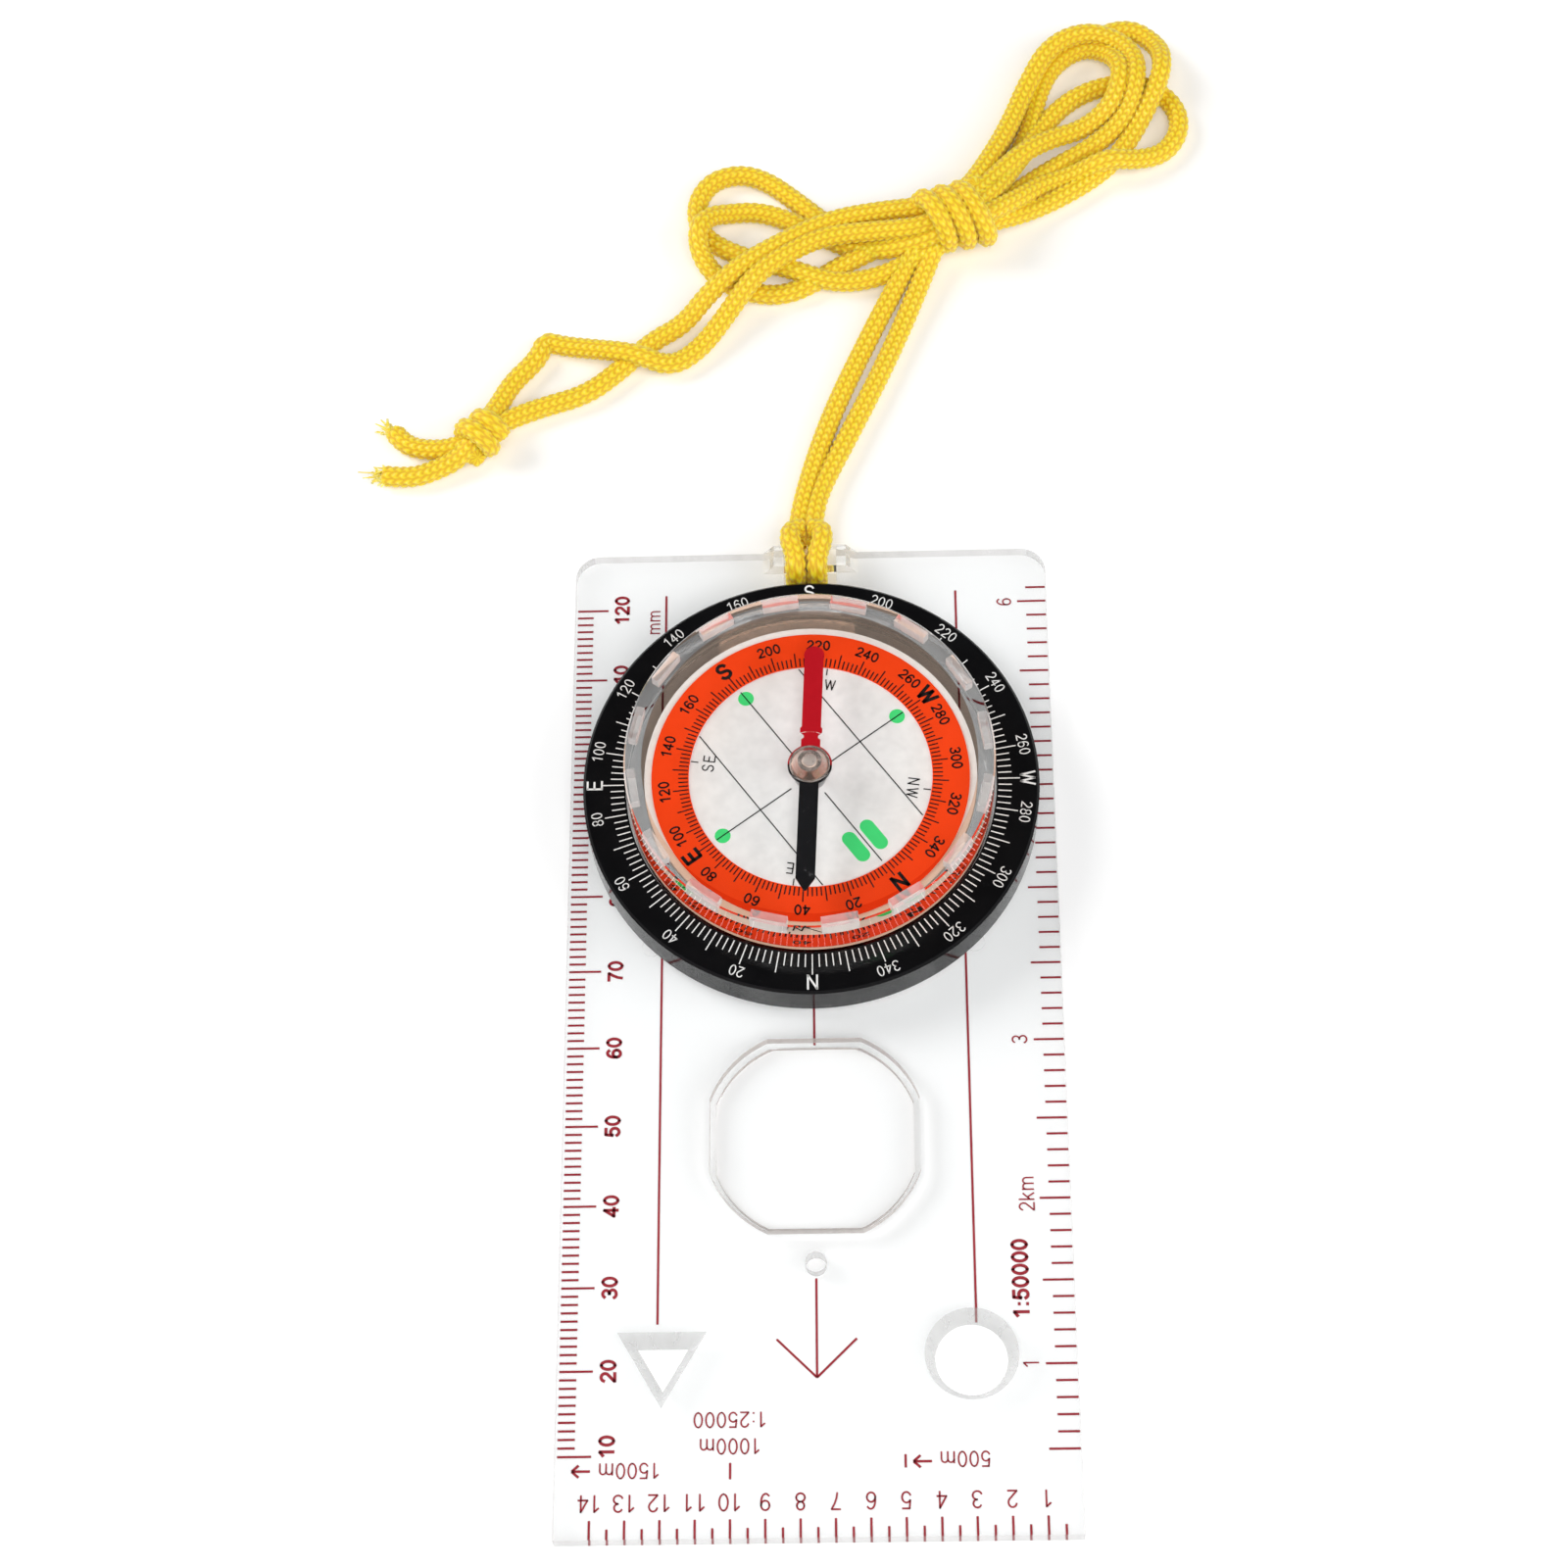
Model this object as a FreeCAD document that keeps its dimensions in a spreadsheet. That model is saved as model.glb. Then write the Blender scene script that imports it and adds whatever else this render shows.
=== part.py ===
import FreeCAD, Part
import math
import os
import Sketcher

# Baseplate compass, in millimetres.
# +X runs to the right edge of the plate, +Y towards the lanyard end and +Z up.
# The origin is the middle of the plate's underside.

SIZES = {
    # clear baseplate
    "plate_width": 60.0,
    "plate_length": 127.0,
    "plate_thick": 2.7,
    "plate_corner": 3.2,
    "slot_width": 6.7,
    "slot_near": 57.6,
    "bridge_depth": 3.0,
    "bridge_half_foot": 6.05,
    "bridge_half_top": 4.6,
    "bridge_rise": 2.0,
    "pencil_hole_radius": 1.25,
    "pencil_hole_y": -31.2,
    "template_x": 17.85,
    "template_y": -42.45,
    "circle_radius_top": 5.45,
    "circle_radius_low": 4.2,
    "triangle_side_top": 10.4,
    "triangle_side_low": 5.85,
    "mark_x": 19.6,
    "mark_y": 8.9,
    "mark_radius": 1.2,
    "mark_depth": 0.15,
    # magnifier
    "lens_y": -15.4,
    "lens_radius": 13.3,
    "lens_width": 25.0,
    "lens_length": 24.1,
    "lens_ledge": 0.75,
    "lens_ledge_z": 0.9,
    "lens_rim_thick": 0.9,
    "lens_dome_radius": 58.0,
    "lens_dome_rise": 1.25,
    "lens_column": 4.0,
    "glue_gap": 0.05,
    # the dial's axis and the collar that carries the bezel
    "dial_y": 28.4,
    "collar_inner": 23.65,
    "collar_outer": 24.65,
    "collar_top": 5.0,
    "collar_root": 0.5,
    "bead_radius": 25.2,
    "bead_low": 4.3,
    "bead_bevel": 0.25,
    # bezel
    "bezel_outer": 28.0,
    "bezel_hole": 22.75,
    "bezel_top": 7.75,
    "bezel_flange": 2.2,
    "bezel_skirt_inner": 26.4,
    "bezel_low": 2.95,
    "bezel_edge": 0.3,
    "keeper_inner": 24.95,
    "keeper_low": 3.0,
    "keeper_top": 4.1,
    # capsule
    "shell_outer": 22.5,
    "shell_inner": 20.4,
    "shell_low": 5.4,
    "shoulder_z": 14.65,
    "crown_radius": 22.3,
    "crown_z": 14.85,
    "crown_thick": 1.2,
    "dish_radius": 3.35,
    "dish_depth": 0.12,
    "pocket_floor": 12.4,
    "pocket_width": 4.45,
    "pocket_inner": 21.1,
    "pocket_reach": 1.0,
    "pocket_height": 4.0,
    "pocket_count": 16,
    "pocket_phase": 9.2,
    "seat_gap": 0.05,
    "foot_inner": 20.5,
    "foot_low": 3.0,
    "base_low": 4.9,
    "base_top": 6.4,
    "flange_radius": 23.35,
    "flange_low": 4.2,
    "flange_top": 5.2,
    "boss_radius": 2.0,
    "boss_top": 7.2,
    "boss_step_radius": 1.4,
    "boss_step_top": 7.6,
    "dial_turn": 36.4,
    "ring_outer": 19.45,
    "ring_inner": 14.9,
    "ring_thick": 0.2,
    "plug_radius": 0.8,
    "plug_head": 1.3,
    "plug_head_thick": 0.5,
    "plug_at": 17.2,
    # pivot and needle
    "pin_radius": 0.4,
    "pin_low": 5.6,
    "pin_shoulder": 11.15,
    "pin_tip": 12.0,
    "pin_tip_radius": 0.06,
    "needle_low": 11.0,
    "needle_thick": 0.35,
    "needle_south": 16.7,
    "needle_north": 16.2,
    "needle_width": 2.35,
    "needle_disc": 2.7,
    "needle_head": 1.25,
    "needle_point": 1.6,
    "needle_tip_half": 0.15,
    "neck_y": 3.4,
    "neck_in": 0.3,
    "neck_bevel": 0.2,
    "swell_y": 4.2,
    "swell_out": 0.18,
    "swell_length": 0.7,
    "needle_turn": -2.5,
    "hub_spigot": 1.0,
    "hub_low": 10.5,
    "hub_flange": 2.5,
    "hub_flange_thick": 0.22,
    "hub_skirt": 2.25,
    "hub_top": 13.05,
    "hub_top_radius": 1.46,
    "cap_radius": 0.9,
    "cap_thick": 0.3,
    "cap_bevel": 0.08,
    "jewel_radius": 0.8,
    "jewel_low": 11.7,
    "jewel_top": 12.3,
    "jewel_cup": 0.5,
    "jewel_cup_depth": 0.4,
    # lanyard
    "cord_radius": 1.35,
    "loops_right_radius": 2.7,
    "loops_left_radius": 2.3,
    "hitch_left": -3.25,
    "hitch_right": 2.3,
    "hitch_near": 57.7,
    "hitch_far": 66.6,
    "hitch_low": 0.05,
    "hitch_top": 7.3,
    "hitch_round": 1.2,
    "hitch_gap": 0.03,
    "wrap_radius": 4.6,
    "wrap_half_length": 6.4,
    "end_knot_radius": 3.2,
    "end_knot_half_length": 4.4,
}

doc = FreeCAD.newDocument("compass")
sheet = doc.addObject("Spreadsheet::Sheet", "Sizes")
for row, (alias, value) in enumerate(SIZES.items(), start=1):
    sheet.set("A%d" % row, alias)
    sheet.set("B%d" % row, "%g" % value)
    sheet.setAlias("B%d" % row, alias)
doc.recompute()

PARTS = []


def keep(item, label):
    """Give a finished sub-part its label and list it for export."""
    item.Label = label
    PARTS.append(item)
    return item


def plane(body, role):
    """The body's own origin plane or axis with this role."""
    for feature in body.Origin.OriginFeatures:
        if feature.Role == role:
            return feature
    raise ValueError(role)


def new_body(name):
    """An empty PartDesign body."""
    return doc.addObject("PartDesign::Body", name)


def new_sketch(body, name, role="XY_Plane", lift=None):
    """A sketch on one of the body's origin planes, lifted by an expression."""
    sketch = body.newObject("Sketcher::SketchObject", name)
    sketch.AttachmentSupport = [(plane(body, role), "")]
    sketch.MapMode = "FlatFace"
    if lift:
        sketch.setExpression(".AttachmentOffset.Base.z", lift)
    return sketch


def place_vertex(sketch, line, x_size, y_size, tag):
    """Hold the start of a line at two sizes, each an expression or 0."""
    if x_size == "0":
        sketch.addConstraint(Sketcher.Constraint("PointOnObject", line, 1, -2))
    else:
        index = sketch.addConstraint(Sketcher.Constraint("DistanceX", -1, 1, line, 1, 1.0))
        sketch.renameConstraint(index, tag + "_x")
        sketch.setExpression("Constraints.%s_x" % tag, x_size)
    if y_size == "0":
        sketch.addConstraint(Sketcher.Constraint("PointOnObject", line, 1, -1))
    else:
        index = sketch.addConstraint(Sketcher.Constraint("DistanceY", -1, 1, line, 1, 1.0))
        sketch.renameConstraint(index, tag + "_y")
        sketch.setExpression("Constraints.%s_y" % tag, y_size)


def outline(sketch, corners):
    """A closed outline of straight lines through corners given as expressions."""
    count = len(corners)
    step = 2.0 * math.pi / count
    ring = [FreeCAD.Vector(9 * math.cos(k * step), 9 * math.sin(k * step), 0) for k in range(count)]
    lines = [sketch.addGeometry(Part.LineSegment(ring[k], ring[(k + 1) % count]), False)
             for k in range(count)]
    for k in range(count):
        sketch.addConstraint(Sketcher.Constraint("Coincident", lines[k], 2, lines[(k + 1) % count], 1))
    for k, (x_size, y_size) in enumerate(corners):
        place_vertex(sketch, lines[k], x_size, y_size, "corner%d" % k)


def circle(sketch, radius, x_size="0", y_size="0", tag="hole"):
    """A circle whose radius and centre are expressions."""
    ring = sketch.addGeometry(Part.Circle(FreeCAD.Vector(3, 3, 0), FreeCAD.Vector(0, 0, 1), 2.0), False)
    index = sketch.addConstraint(Sketcher.Constraint("Radius", ring, 2.0))
    sketch.renameConstraint(index, tag + "_radius")
    sketch.setExpression("Constraints.%s_radius" % tag, radius)
    for kind, size, axis in (("X", x_size, -2), ("Y", y_size, -1)):
        if size == "0":
            sketch.addConstraint(Sketcher.Constraint("PointOnObject", ring, 3, axis))
        else:
            index = sketch.addConstraint(Sketcher.Constraint("Distance" + kind, -1, 1, ring, 3, 1.0))
            sketch.renameConstraint(index, tag + "_" + kind)
            sketch.setExpression("Constraints.%s_%s" % (tag, kind), size)


def pad(body, name, sketch, length):
    """Raise a sketch by a length given as an expression."""
    feature = body.newObject("PartDesign::Pad", name)
    feature.Profile = sketch
    feature.setExpression("Length", length)
    return feature


def pocket_through(body, name, sketch):
    """Cut a sketch on the underside up through the whole body."""
    feature = body.newObject("PartDesign::Pocket", name)
    feature.Profile = sketch
    feature.Type = "ThroughAll"
    feature.Reversed = True
    return feature


def turned(label, corners):
    """A body of revolution round Z from (radius, height) corners, on the dial's axis."""
    body = new_body(label + "_body")
    sketch = new_sketch(body, label + "_profile", "XZ_Plane")
    outline(sketch, corners)
    feature = body.newObject("PartDesign::Revolution", label + "_turned")
    feature.Profile = sketch
    feature.ReferenceAxis = (sketch, ["V_Axis"])
    feature.Angle = 360.0
    body.setExpression(".Placement.Base.y", "Sizes.dial_y")
    return keep(body, label)


def sized(kind, name, **sizes):
    """A Part primitive whose sizes and place are expressions."""
    item = doc.addObject(kind, name)
    for prop, size in sizes.items():
        item.setExpression(prop.replace("__", ".").replace("at_", ".Placement.Base."), size)
    return item


def boolean(kind, name, base, tool):
    """A cut, fuse or common of two objects."""
    item = doc.addObject(kind, name)
    item.Base = base
    item.Tool = tool
    return item


# ---------------------------------------------------------------- baseplate

def rounded_square(name, inset, low, rise):
    """The magnifier's outline: a circle cut by four flats, drawn in by an inset."""
    disc = sized("Part::Cylinder", name + "_disc", Radius="Sizes.lens_radius - %s" % inset, Height=rise,
                 at_y="Sizes.lens_y", at_z=low)
    block = sized("Part::Box", name + "_block", Length="Sizes.lens_width - 2 * %s" % inset,
                  Width="Sizes.lens_length - 2 * %s" % inset, Height=rise,
                  at_x="-Sizes.lens_width / 2 + %s" % inset,
                  at_y="Sizes.lens_y - Sizes.lens_length / 2 + %s" % inset, at_z=low)
    return boolean("Part::Common", name, disc, block)


def triangle_sketch(name, side, lift):
    """One outline of the tapered triangle, its point towards the near edge."""
    sketch = doc.addObject("Sketcher::SketchObject", name)
    sketch.setExpression(".Placement.Base.z", lift)
    third = "Sizes.%s * sqrt(3) / 6" % side
    middle = "Sizes.template_y"
    outline(sketch, [("-Sizes.template_x - Sizes.%s / 2" % side, "%s + %s" % (middle, third)),
                     ("-Sizes.template_x", "%s - 2 * %s" % (middle, third)),
                     ("-Sizes.template_x + Sizes.%s / 2" % side, "%s + %s" % (middle, third))])
    return sketch


def baseplate():
    """The clear plate: collar, bridge, slot, window, template holes and two shallow mould marks."""
    body = new_body("plate_body")
    blank = new_sketch(body, "plate_outline")
    half_x, half_y = "Sizes.plate_width / 2", "Sizes.plate_length / 2"
    outline(blank, [("-" + half_x, "-" + half_y), (half_x, "-" + half_y),
                    (half_x, half_y), ("-" + half_x, half_y)])
    slab = pad(body, "plate_slab", blank, "Sizes.plate_thick")
    doc.recompute()
    far_corners = [
        "Edge%d" % k for k, edge in enumerate(slab.Shape.Edges, start=1)
        if abs(edge.tangentAt(edge.FirstParameter).z) > 0.9 and edge.CenterOfMass.y > 0]
    rounds = body.newObject("PartDesign::Fillet", "far_corner_rounds")
    rounds.Base = (slab, far_corners)
    rounds.setExpression("Radius", "Sizes.plate_corner")

    bar = new_sketch(body, "bridge_section", "XZ_Plane")
    outline(bar, [("-Sizes.bridge_half_foot", "Sizes.plate_thick"),
                  ("Sizes.bridge_half_foot", "Sizes.plate_thick"),
                  ("Sizes.bridge_half_top", "Sizes.plate_thick + Sizes.bridge_rise"),
                  ("-Sizes.bridge_half_top", "Sizes.plate_thick + Sizes.bridge_rise")])
    bar.setExpression(".AttachmentOffset.Base.z", "-Sizes.plate_length / 2")
    pad(body, "bridge", bar, "Sizes.bridge_depth")

    holes = new_sketch(body, "hole_outlines")
    circle(holes, "Sizes.pencil_hole_radius", "0", "Sizes.pencil_hole_y", "pencil")
    pocket_through(body, "pencil_hole", holes)

    ring = doc.addObject("Sketcher::SketchObject", "collar_profile")
    ring.Placement.Rotation = FreeCAD.Rotation(FreeCAD.Vector(1, 0, 0), 90)
    ring.setExpression(".Placement.Base.y", "Sizes.dial_y")
    outline(ring, [("Sizes.collar_inner", "Sizes.plate_thick - Sizes.collar_root"),
                   ("Sizes.collar_outer", "Sizes.plate_thick - Sizes.collar_root"),
                   ("Sizes.collar_outer", "Sizes.bead_low"),
                   ("Sizes.bead_radius", "Sizes.bead_low + Sizes.bead_bevel"),
                   ("Sizes.bead_radius", "Sizes.collar_top - Sizes.bead_bevel"),
                   ("Sizes.bead_radius - Sizes.bead_bevel", "Sizes.collar_top"),
                   ("Sizes.collar_inner", "Sizes.collar_top")])
    collar = doc.addObject("Part::Revolution", "collar")
    collar.Source = ring
    collar.Axis = (0, 0, 1)
    collar.Solid = True
    collar.setExpression(".Base.y", "Sizes.dial_y")

    slot = sized("Part::Box", "lanyard_slot", Length="Sizes.slot_width",
                 Width="Sizes.plate_length / 2 - Sizes.slot_near + 1", Height="Sizes.plate_thick + 1",
                 at_x="-Sizes.slot_width / 2", at_y="Sizes.slot_near", at_z="-1")
    window = rounded_square("window_seat", "0", "Sizes.lens_ledge_z", "Sizes.plate_thick")
    sight = rounded_square("window_sight", "Sizes.lens_ledge", "-1", "Sizes.plate_thick")
    cone = sized("Part::Cone", "circle_template", Radius1="Sizes.circle_radius_low",
                 Radius2="Sizes.circle_radius_top", Height="Sizes.plate_thick",
                 at_x="Sizes.template_x", at_y="Sizes.template_y")
    wedge = doc.addObject("Part::Loft", "triangle_template")
    wedge.Sections = [triangle_sketch("triangle_low", "triangle_side_low", "0"),
                      triangle_sketch("triangle_top", "triangle_side_top", "Sizes.plate_thick")]
    wedge.Solid = True
    wedge.Ruled = True
    marks = [sized("Part::Cylinder", "mould_mark_%s" % side, Radius="Sizes.mark_radius", Height="1",
                   at_x=x, at_y="Sizes.mark_y", at_z="Sizes.plate_thick - Sizes.mark_depth")
             for side, x in (("left", "-Sizes.mark_x"), ("right", "Sizes.mark_x"))]

    joined = boolean("Part::Fuse", "plate_with_collar", body, collar)
    cutters = doc.addObject("Part::MultiFuse", "plate_cutters")
    cutters.Shapes = [slot, window, sight, cone, wedge, *marks]
    return keep(boolean("Part::Cut", "plate_cut", joined, cutters), "baseplate")


def magnifier_lens():
    """A plano-convex lens on the window's ledge."""
    rim = rounded_square("lens_rim", "Sizes.glue_gap", "Sizes.lens_ledge_z", "Sizes.lens_rim_thick")
    top = "Sizes.lens_ledge_z + Sizes.lens_rim_thick"
    ball = sized("Part::Sphere", "lens_ball", Radius="Sizes.lens_dome_radius", at_y="Sizes.lens_y",
                 at_z="%s + Sizes.lens_dome_rise - Sizes.lens_dome_radius" % top)
    column = rounded_square("lens_column", "Sizes.lens_ledge", "Sizes.lens_ledge_z",
                            "Sizes.lens_column")
    dome = boolean("Part::Common", "lens_dome", ball, column)
    return keep(boolean("Part::Fuse", "lens", rim, dome), "magnifier_lens")


# ---------------------------------------------------------------- bezel

def bezel():
    """The printed ring and the keeper pressed into its skirt, under the collar's bead."""
    turned("bezel_ring", [
        ("Sizes.bezel_hole", "Sizes.bezel_top - Sizes.bezel_flange"),
        ("Sizes.bezel_skirt_inner", "Sizes.bezel_top - Sizes.bezel_flange"),
        ("Sizes.bezel_skirt_inner", "Sizes.bezel_low"),
        ("Sizes.bezel_outer", "Sizes.bezel_low"),
        ("Sizes.bezel_outer", "Sizes.bezel_top - Sizes.bezel_edge"),
        ("Sizes.bezel_outer - Sizes.bezel_edge", "Sizes.bezel_top"),
        ("Sizes.bezel_hole", "Sizes.bezel_top")])
    turned("bezel_keeper", [
        ("Sizes.keeper_inner", "Sizes.keeper_low"), ("Sizes.bezel_skirt_inner", "Sizes.keeper_low"),
        ("Sizes.bezel_skirt_inner", "Sizes.keeper_top"), ("Sizes.keeper_inner", "Sizes.keeper_top")])


# ---------------------------------------------------------------- capsule

def capsule_cover():
    """The clear cover: a crown with a shallow dish, and pockets sunk into the top of its wall."""
    cover = turned("capsule_cover", [
        ("Sizes.shell_inner", "Sizes.shell_low"), ("Sizes.shell_outer", "Sizes.shell_low"),
        ("Sizes.shell_outer", "Sizes.shoulder_z"), ("Sizes.crown_radius", "Sizes.crown_z"),
        ("Sizes.dish_radius", "Sizes.crown_z"), ("Sizes.dish_radius", "Sizes.crown_z - Sizes.dish_depth"),
        ("0", "Sizes.crown_z - Sizes.dish_depth"), ("0", "Sizes.crown_z - Sizes.crown_thick"),
        ("Sizes.shell_inner", "Sizes.crown_z - Sizes.crown_thick")])
    hollow = cover.newObject("PartDesign::SubtractiveBox", "rim_pocket")
    hollow.AttachmentSupport = [(plane(cover, "XY_Plane"), "")]
    hollow.MapMode = "FlatFace"
    hollow.setExpression("Length", "Sizes.pocket_reach")
    hollow.setExpression("Width", "Sizes.pocket_width")
    hollow.setExpression("Height", "Sizes.pocket_height")
    hollow.setExpression(".AttachmentOffset.Base.x", "Sizes.pocket_inner")
    hollow.setExpression(".AttachmentOffset.Base.y", "-Sizes.pocket_width / 2")
    hollow.setExpression(".AttachmentOffset.Base.z", "Sizes.pocket_floor")
    ring = cover.newObject("PartDesign::PolarPattern", "rim_pockets")
    ring.Originals = [hollow]
    ring.Axis = (plane(cover, "Z_Axis"), [""])
    ring.Angle = 360.0
    ring.setExpression("Occurrences", "Sizes.pocket_count")
    cover.Tip = ring
    cover.Placement.Rotation = FreeCAD.Rotation(FreeCAD.Vector(0, 0, 1), SIZES["pocket_phase"] - 90.0)
    return cover


def capsule_base():
    """The clear base: dial floor, pivot boss, running foot and keeper flange."""
    rim = "Sizes.shell_outer - Sizes.seat_gap"
    spigot = "Sizes.shell_inner - Sizes.seat_gap"
    base = turned("capsule_base", [
        ("0", "Sizes.base_low"), ("Sizes.foot_inner", "Sizes.base_low"),
        ("Sizes.foot_inner", "Sizes.foot_low"), (rim, "Sizes.foot_low"),
        (rim, "Sizes.flange_low"), ("Sizes.flange_radius", "Sizes.flange_low"),
        ("Sizes.flange_radius", "Sizes.flange_top"), (rim, "Sizes.flange_top"),
        (rim, "Sizes.shell_low"), (spigot, "Sizes.shell_low"),
        (spigot, "Sizes.base_top"), ("Sizes.boss_radius", "Sizes.base_top"),
        ("Sizes.boss_radius", "Sizes.boss_top"), ("Sizes.boss_step_radius", "Sizes.boss_top"),
        ("Sizes.boss_step_radius", "Sizes.boss_step_top"), ("Sizes.pin_radius", "Sizes.boss_step_top"),
        ("Sizes.pin_radius", "Sizes.pin_low"), ("0", "Sizes.pin_low")])
    filler = new_sketch(base, "filler_outline", "XY_Plane")
    circle(filler, "Sizes.plug_radius", "0", "Sizes.plug_at", "filler")
    pocket_through(base, "filler_hole", filler)
    turned("dial_ring", [
        ("Sizes.ring_inner", "Sizes.base_top"), ("Sizes.ring_outer", "Sizes.base_top"),
        ("Sizes.ring_outer", "Sizes.base_top + Sizes.ring_thick"),
        ("Sizes.ring_inner", "Sizes.base_top + Sizes.ring_thick")])
    plug_top = "Sizes.base_top - Sizes.seat_gap"
    plug = turned("filler_plug", [
        ("0", "Sizes.base_low - Sizes.plug_head_thick"),
        ("Sizes.plug_head", "Sizes.base_low - Sizes.plug_head_thick"),
        ("Sizes.plug_head", "Sizes.base_low"), ("Sizes.plug_radius", "Sizes.base_low"),
        ("Sizes.plug_radius", plug_top), ("0", plug_top)])
    plug.setExpression(".Placement.Base.y", "Sizes.dial_y + Sizes.plug_at")


# ---------------------------------------------------------------- needle

def needle():
    """The pivot pin, and the needle with its cup, cap and jewel."""
    turned("pivot_pin", [
        ("0", "Sizes.pin_low"), ("Sizes.pin_radius", "Sizes.pin_low"),
        ("Sizes.pin_radius", "Sizes.pin_shoulder"), ("Sizes.pin_tip_radius", "Sizes.pin_tip"),
        ("0", "Sizes.pin_tip")])

    bar = new_body("needle_blade")
    half = "Sizes.needle_width / 2"
    swell_end = "Sizes.swell_y + Sizes.swell_length"
    flat = new_sketch(bar, "needle_outline", "XY_Plane", "Sizes.needle_low")
    side = [(half, "Sizes.neck_y"),
            (half + " - Sizes.neck_in", "Sizes.neck_y + Sizes.neck_bevel"),
            (half + " - Sizes.neck_in", "Sizes.swell_y - Sizes.neck_bevel"),
            (half + " + Sizes.swell_out", "Sizes.swell_y + Sizes.neck_bevel"),
            (half + " + Sizes.swell_out", swell_end),
            (half, swell_end + " + Sizes.neck_bevel"),
            (half, "Sizes.needle_north - Sizes.needle_head")]
    left = [("-(%s)" % x, y) for x, y in reversed(side)]
    point = [("-(%s)" % half, "-Sizes.needle_south + Sizes.needle_point"),
             ("-Sizes.needle_tip_half", "-Sizes.needle_south"),
             ("Sizes.needle_tip_half", "-Sizes.needle_south"),
             (half, "-Sizes.needle_south + Sizes.needle_point")]
    outline(flat, side + left + point)
    pad(bar, "needle_strip", flat, "Sizes.needle_thick")
    rounds = new_sketch(bar, "needle_rounds", "XY_Plane", "Sizes.needle_low")
    circle(rounds, "Sizes.needle_head", "0", "Sizes.needle_north - Sizes.needle_head", "head")
    pad(bar, "needle_head", rounds, "Sizes.needle_thick")
    disc = new_sketch(bar, "needle_disc_outline", "XY_Plane", "Sizes.needle_low")
    circle(disc, "Sizes.needle_disc", tag="disc")
    pad(bar, "needle_disc", disc, "Sizes.needle_thick")
    eye = new_sketch(bar, "needle_eye_outline", "XY_Plane")
    circle(eye, "Sizes.hub_spigot", tag="eye")
    pocket_through(bar, "needle_eye", eye)
    bar.setExpression(".Placement.Base.y", "Sizes.dial_y")
    bar.Placement.Rotation = FreeCAD.Rotation(FreeCAD.Vector(0, 0, 1), SIZES["needle_turn"])
    keep(bar, "needle_bar")

    seat = "Sizes.needle_low + Sizes.needle_thick"
    turned("needle_hub", [
        ("Sizes.jewel_radius", "Sizes.hub_low"), ("Sizes.hub_spigot", "Sizes.hub_low"),
        ("Sizes.hub_spigot", seat), ("Sizes.hub_flange", seat),
        ("Sizes.hub_flange", seat + " + Sizes.hub_flange_thick"),
        ("Sizes.hub_skirt", seat + " + Sizes.hub_flange_thick"),
        ("Sizes.hub_top_radius", "Sizes.hub_top"), ("0", "Sizes.hub_top"),
        ("0", "Sizes.jewel_top"), ("Sizes.jewel_radius", "Sizes.jewel_top")])
    cap_top = "Sizes.hub_top + Sizes.cap_thick"
    turned("hub_cap", [
        ("0", "Sizes.hub_top"), ("Sizes.cap_radius", "Sizes.hub_top"),
        ("Sizes.cap_radius", cap_top + " - Sizes.cap_bevel"),
        ("Sizes.cap_radius - Sizes.cap_bevel", cap_top), ("0", cap_top)])
    turned("jewel_bearing", [
        ("Sizes.jewel_cup", "Sizes.jewel_low"), ("Sizes.jewel_radius", "Sizes.jewel_low"),
        ("Sizes.jewel_radius", "Sizes.jewel_top"), ("0", "Sizes.jewel_top"),
        ("0", "Sizes.jewel_low + Sizes.jewel_cup_depth")])


# ---------------------------------------------------------------- lanyard

def vectors(points):
    """Route points as vectors."""
    return [FreeCAD.Vector(*point) for point in points]


def cord_path(points, share=0.45):
    """Straight runs joined by tangent arcs, each as large as its two runs allow."""
    edges = []
    start = points[0]
    radii = []
    for before, corner, after in zip(points, points[1:], points[2:]):
        into, out = corner - before, after - corner
        half_turn = into.getAngle(out) / 2.0
        back = share * min(into.Length, out.Length)
        radii.append(back / math.tan(half_turn))
        first = corner - into * (back / into.Length)
        last = corner + out * (back / out.Length)
        inward = (first + last) * 0.5 - corner
        reach = radii[-1] / math.cos(half_turn) - radii[-1]
        middle = corner + inward * (reach / inward.Length)
        edges.append(Part.LineSegment(start, first).toShape())
        edges.append(Part.Arc(first, middle, last).toShape())
        start = last
    edges.append(Part.LineSegment(start, points[-1]).toShape())
    return Part.Wire(edges), radii


def cord_tube(label, points, radius):
    """A plain round tube swept along a route, with its radii and volume reported."""
    path, radii = cord_path(vectors(points))
    heading = path.Edges[0].tangentAt(path.Edges[0].FirstParameter)
    section = Part.Wire(Part.Circle(path.Edges[0].Vertexes[0].Point, heading, radius).toShape())
    tube = path.makePipeShell([section], True, False)
    item = doc.addObject("Part::Feature", label + "_tube")
    item.Shape = tube
    expected = math.pi * radius * radius * path.Length
    print("%-22s length %6.1f  smallest radius %5.1f  volume ratio %.4f"
          % (label, path.Length, min(radii), tube.Volume / expected))
    return keep(item, label)


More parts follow.
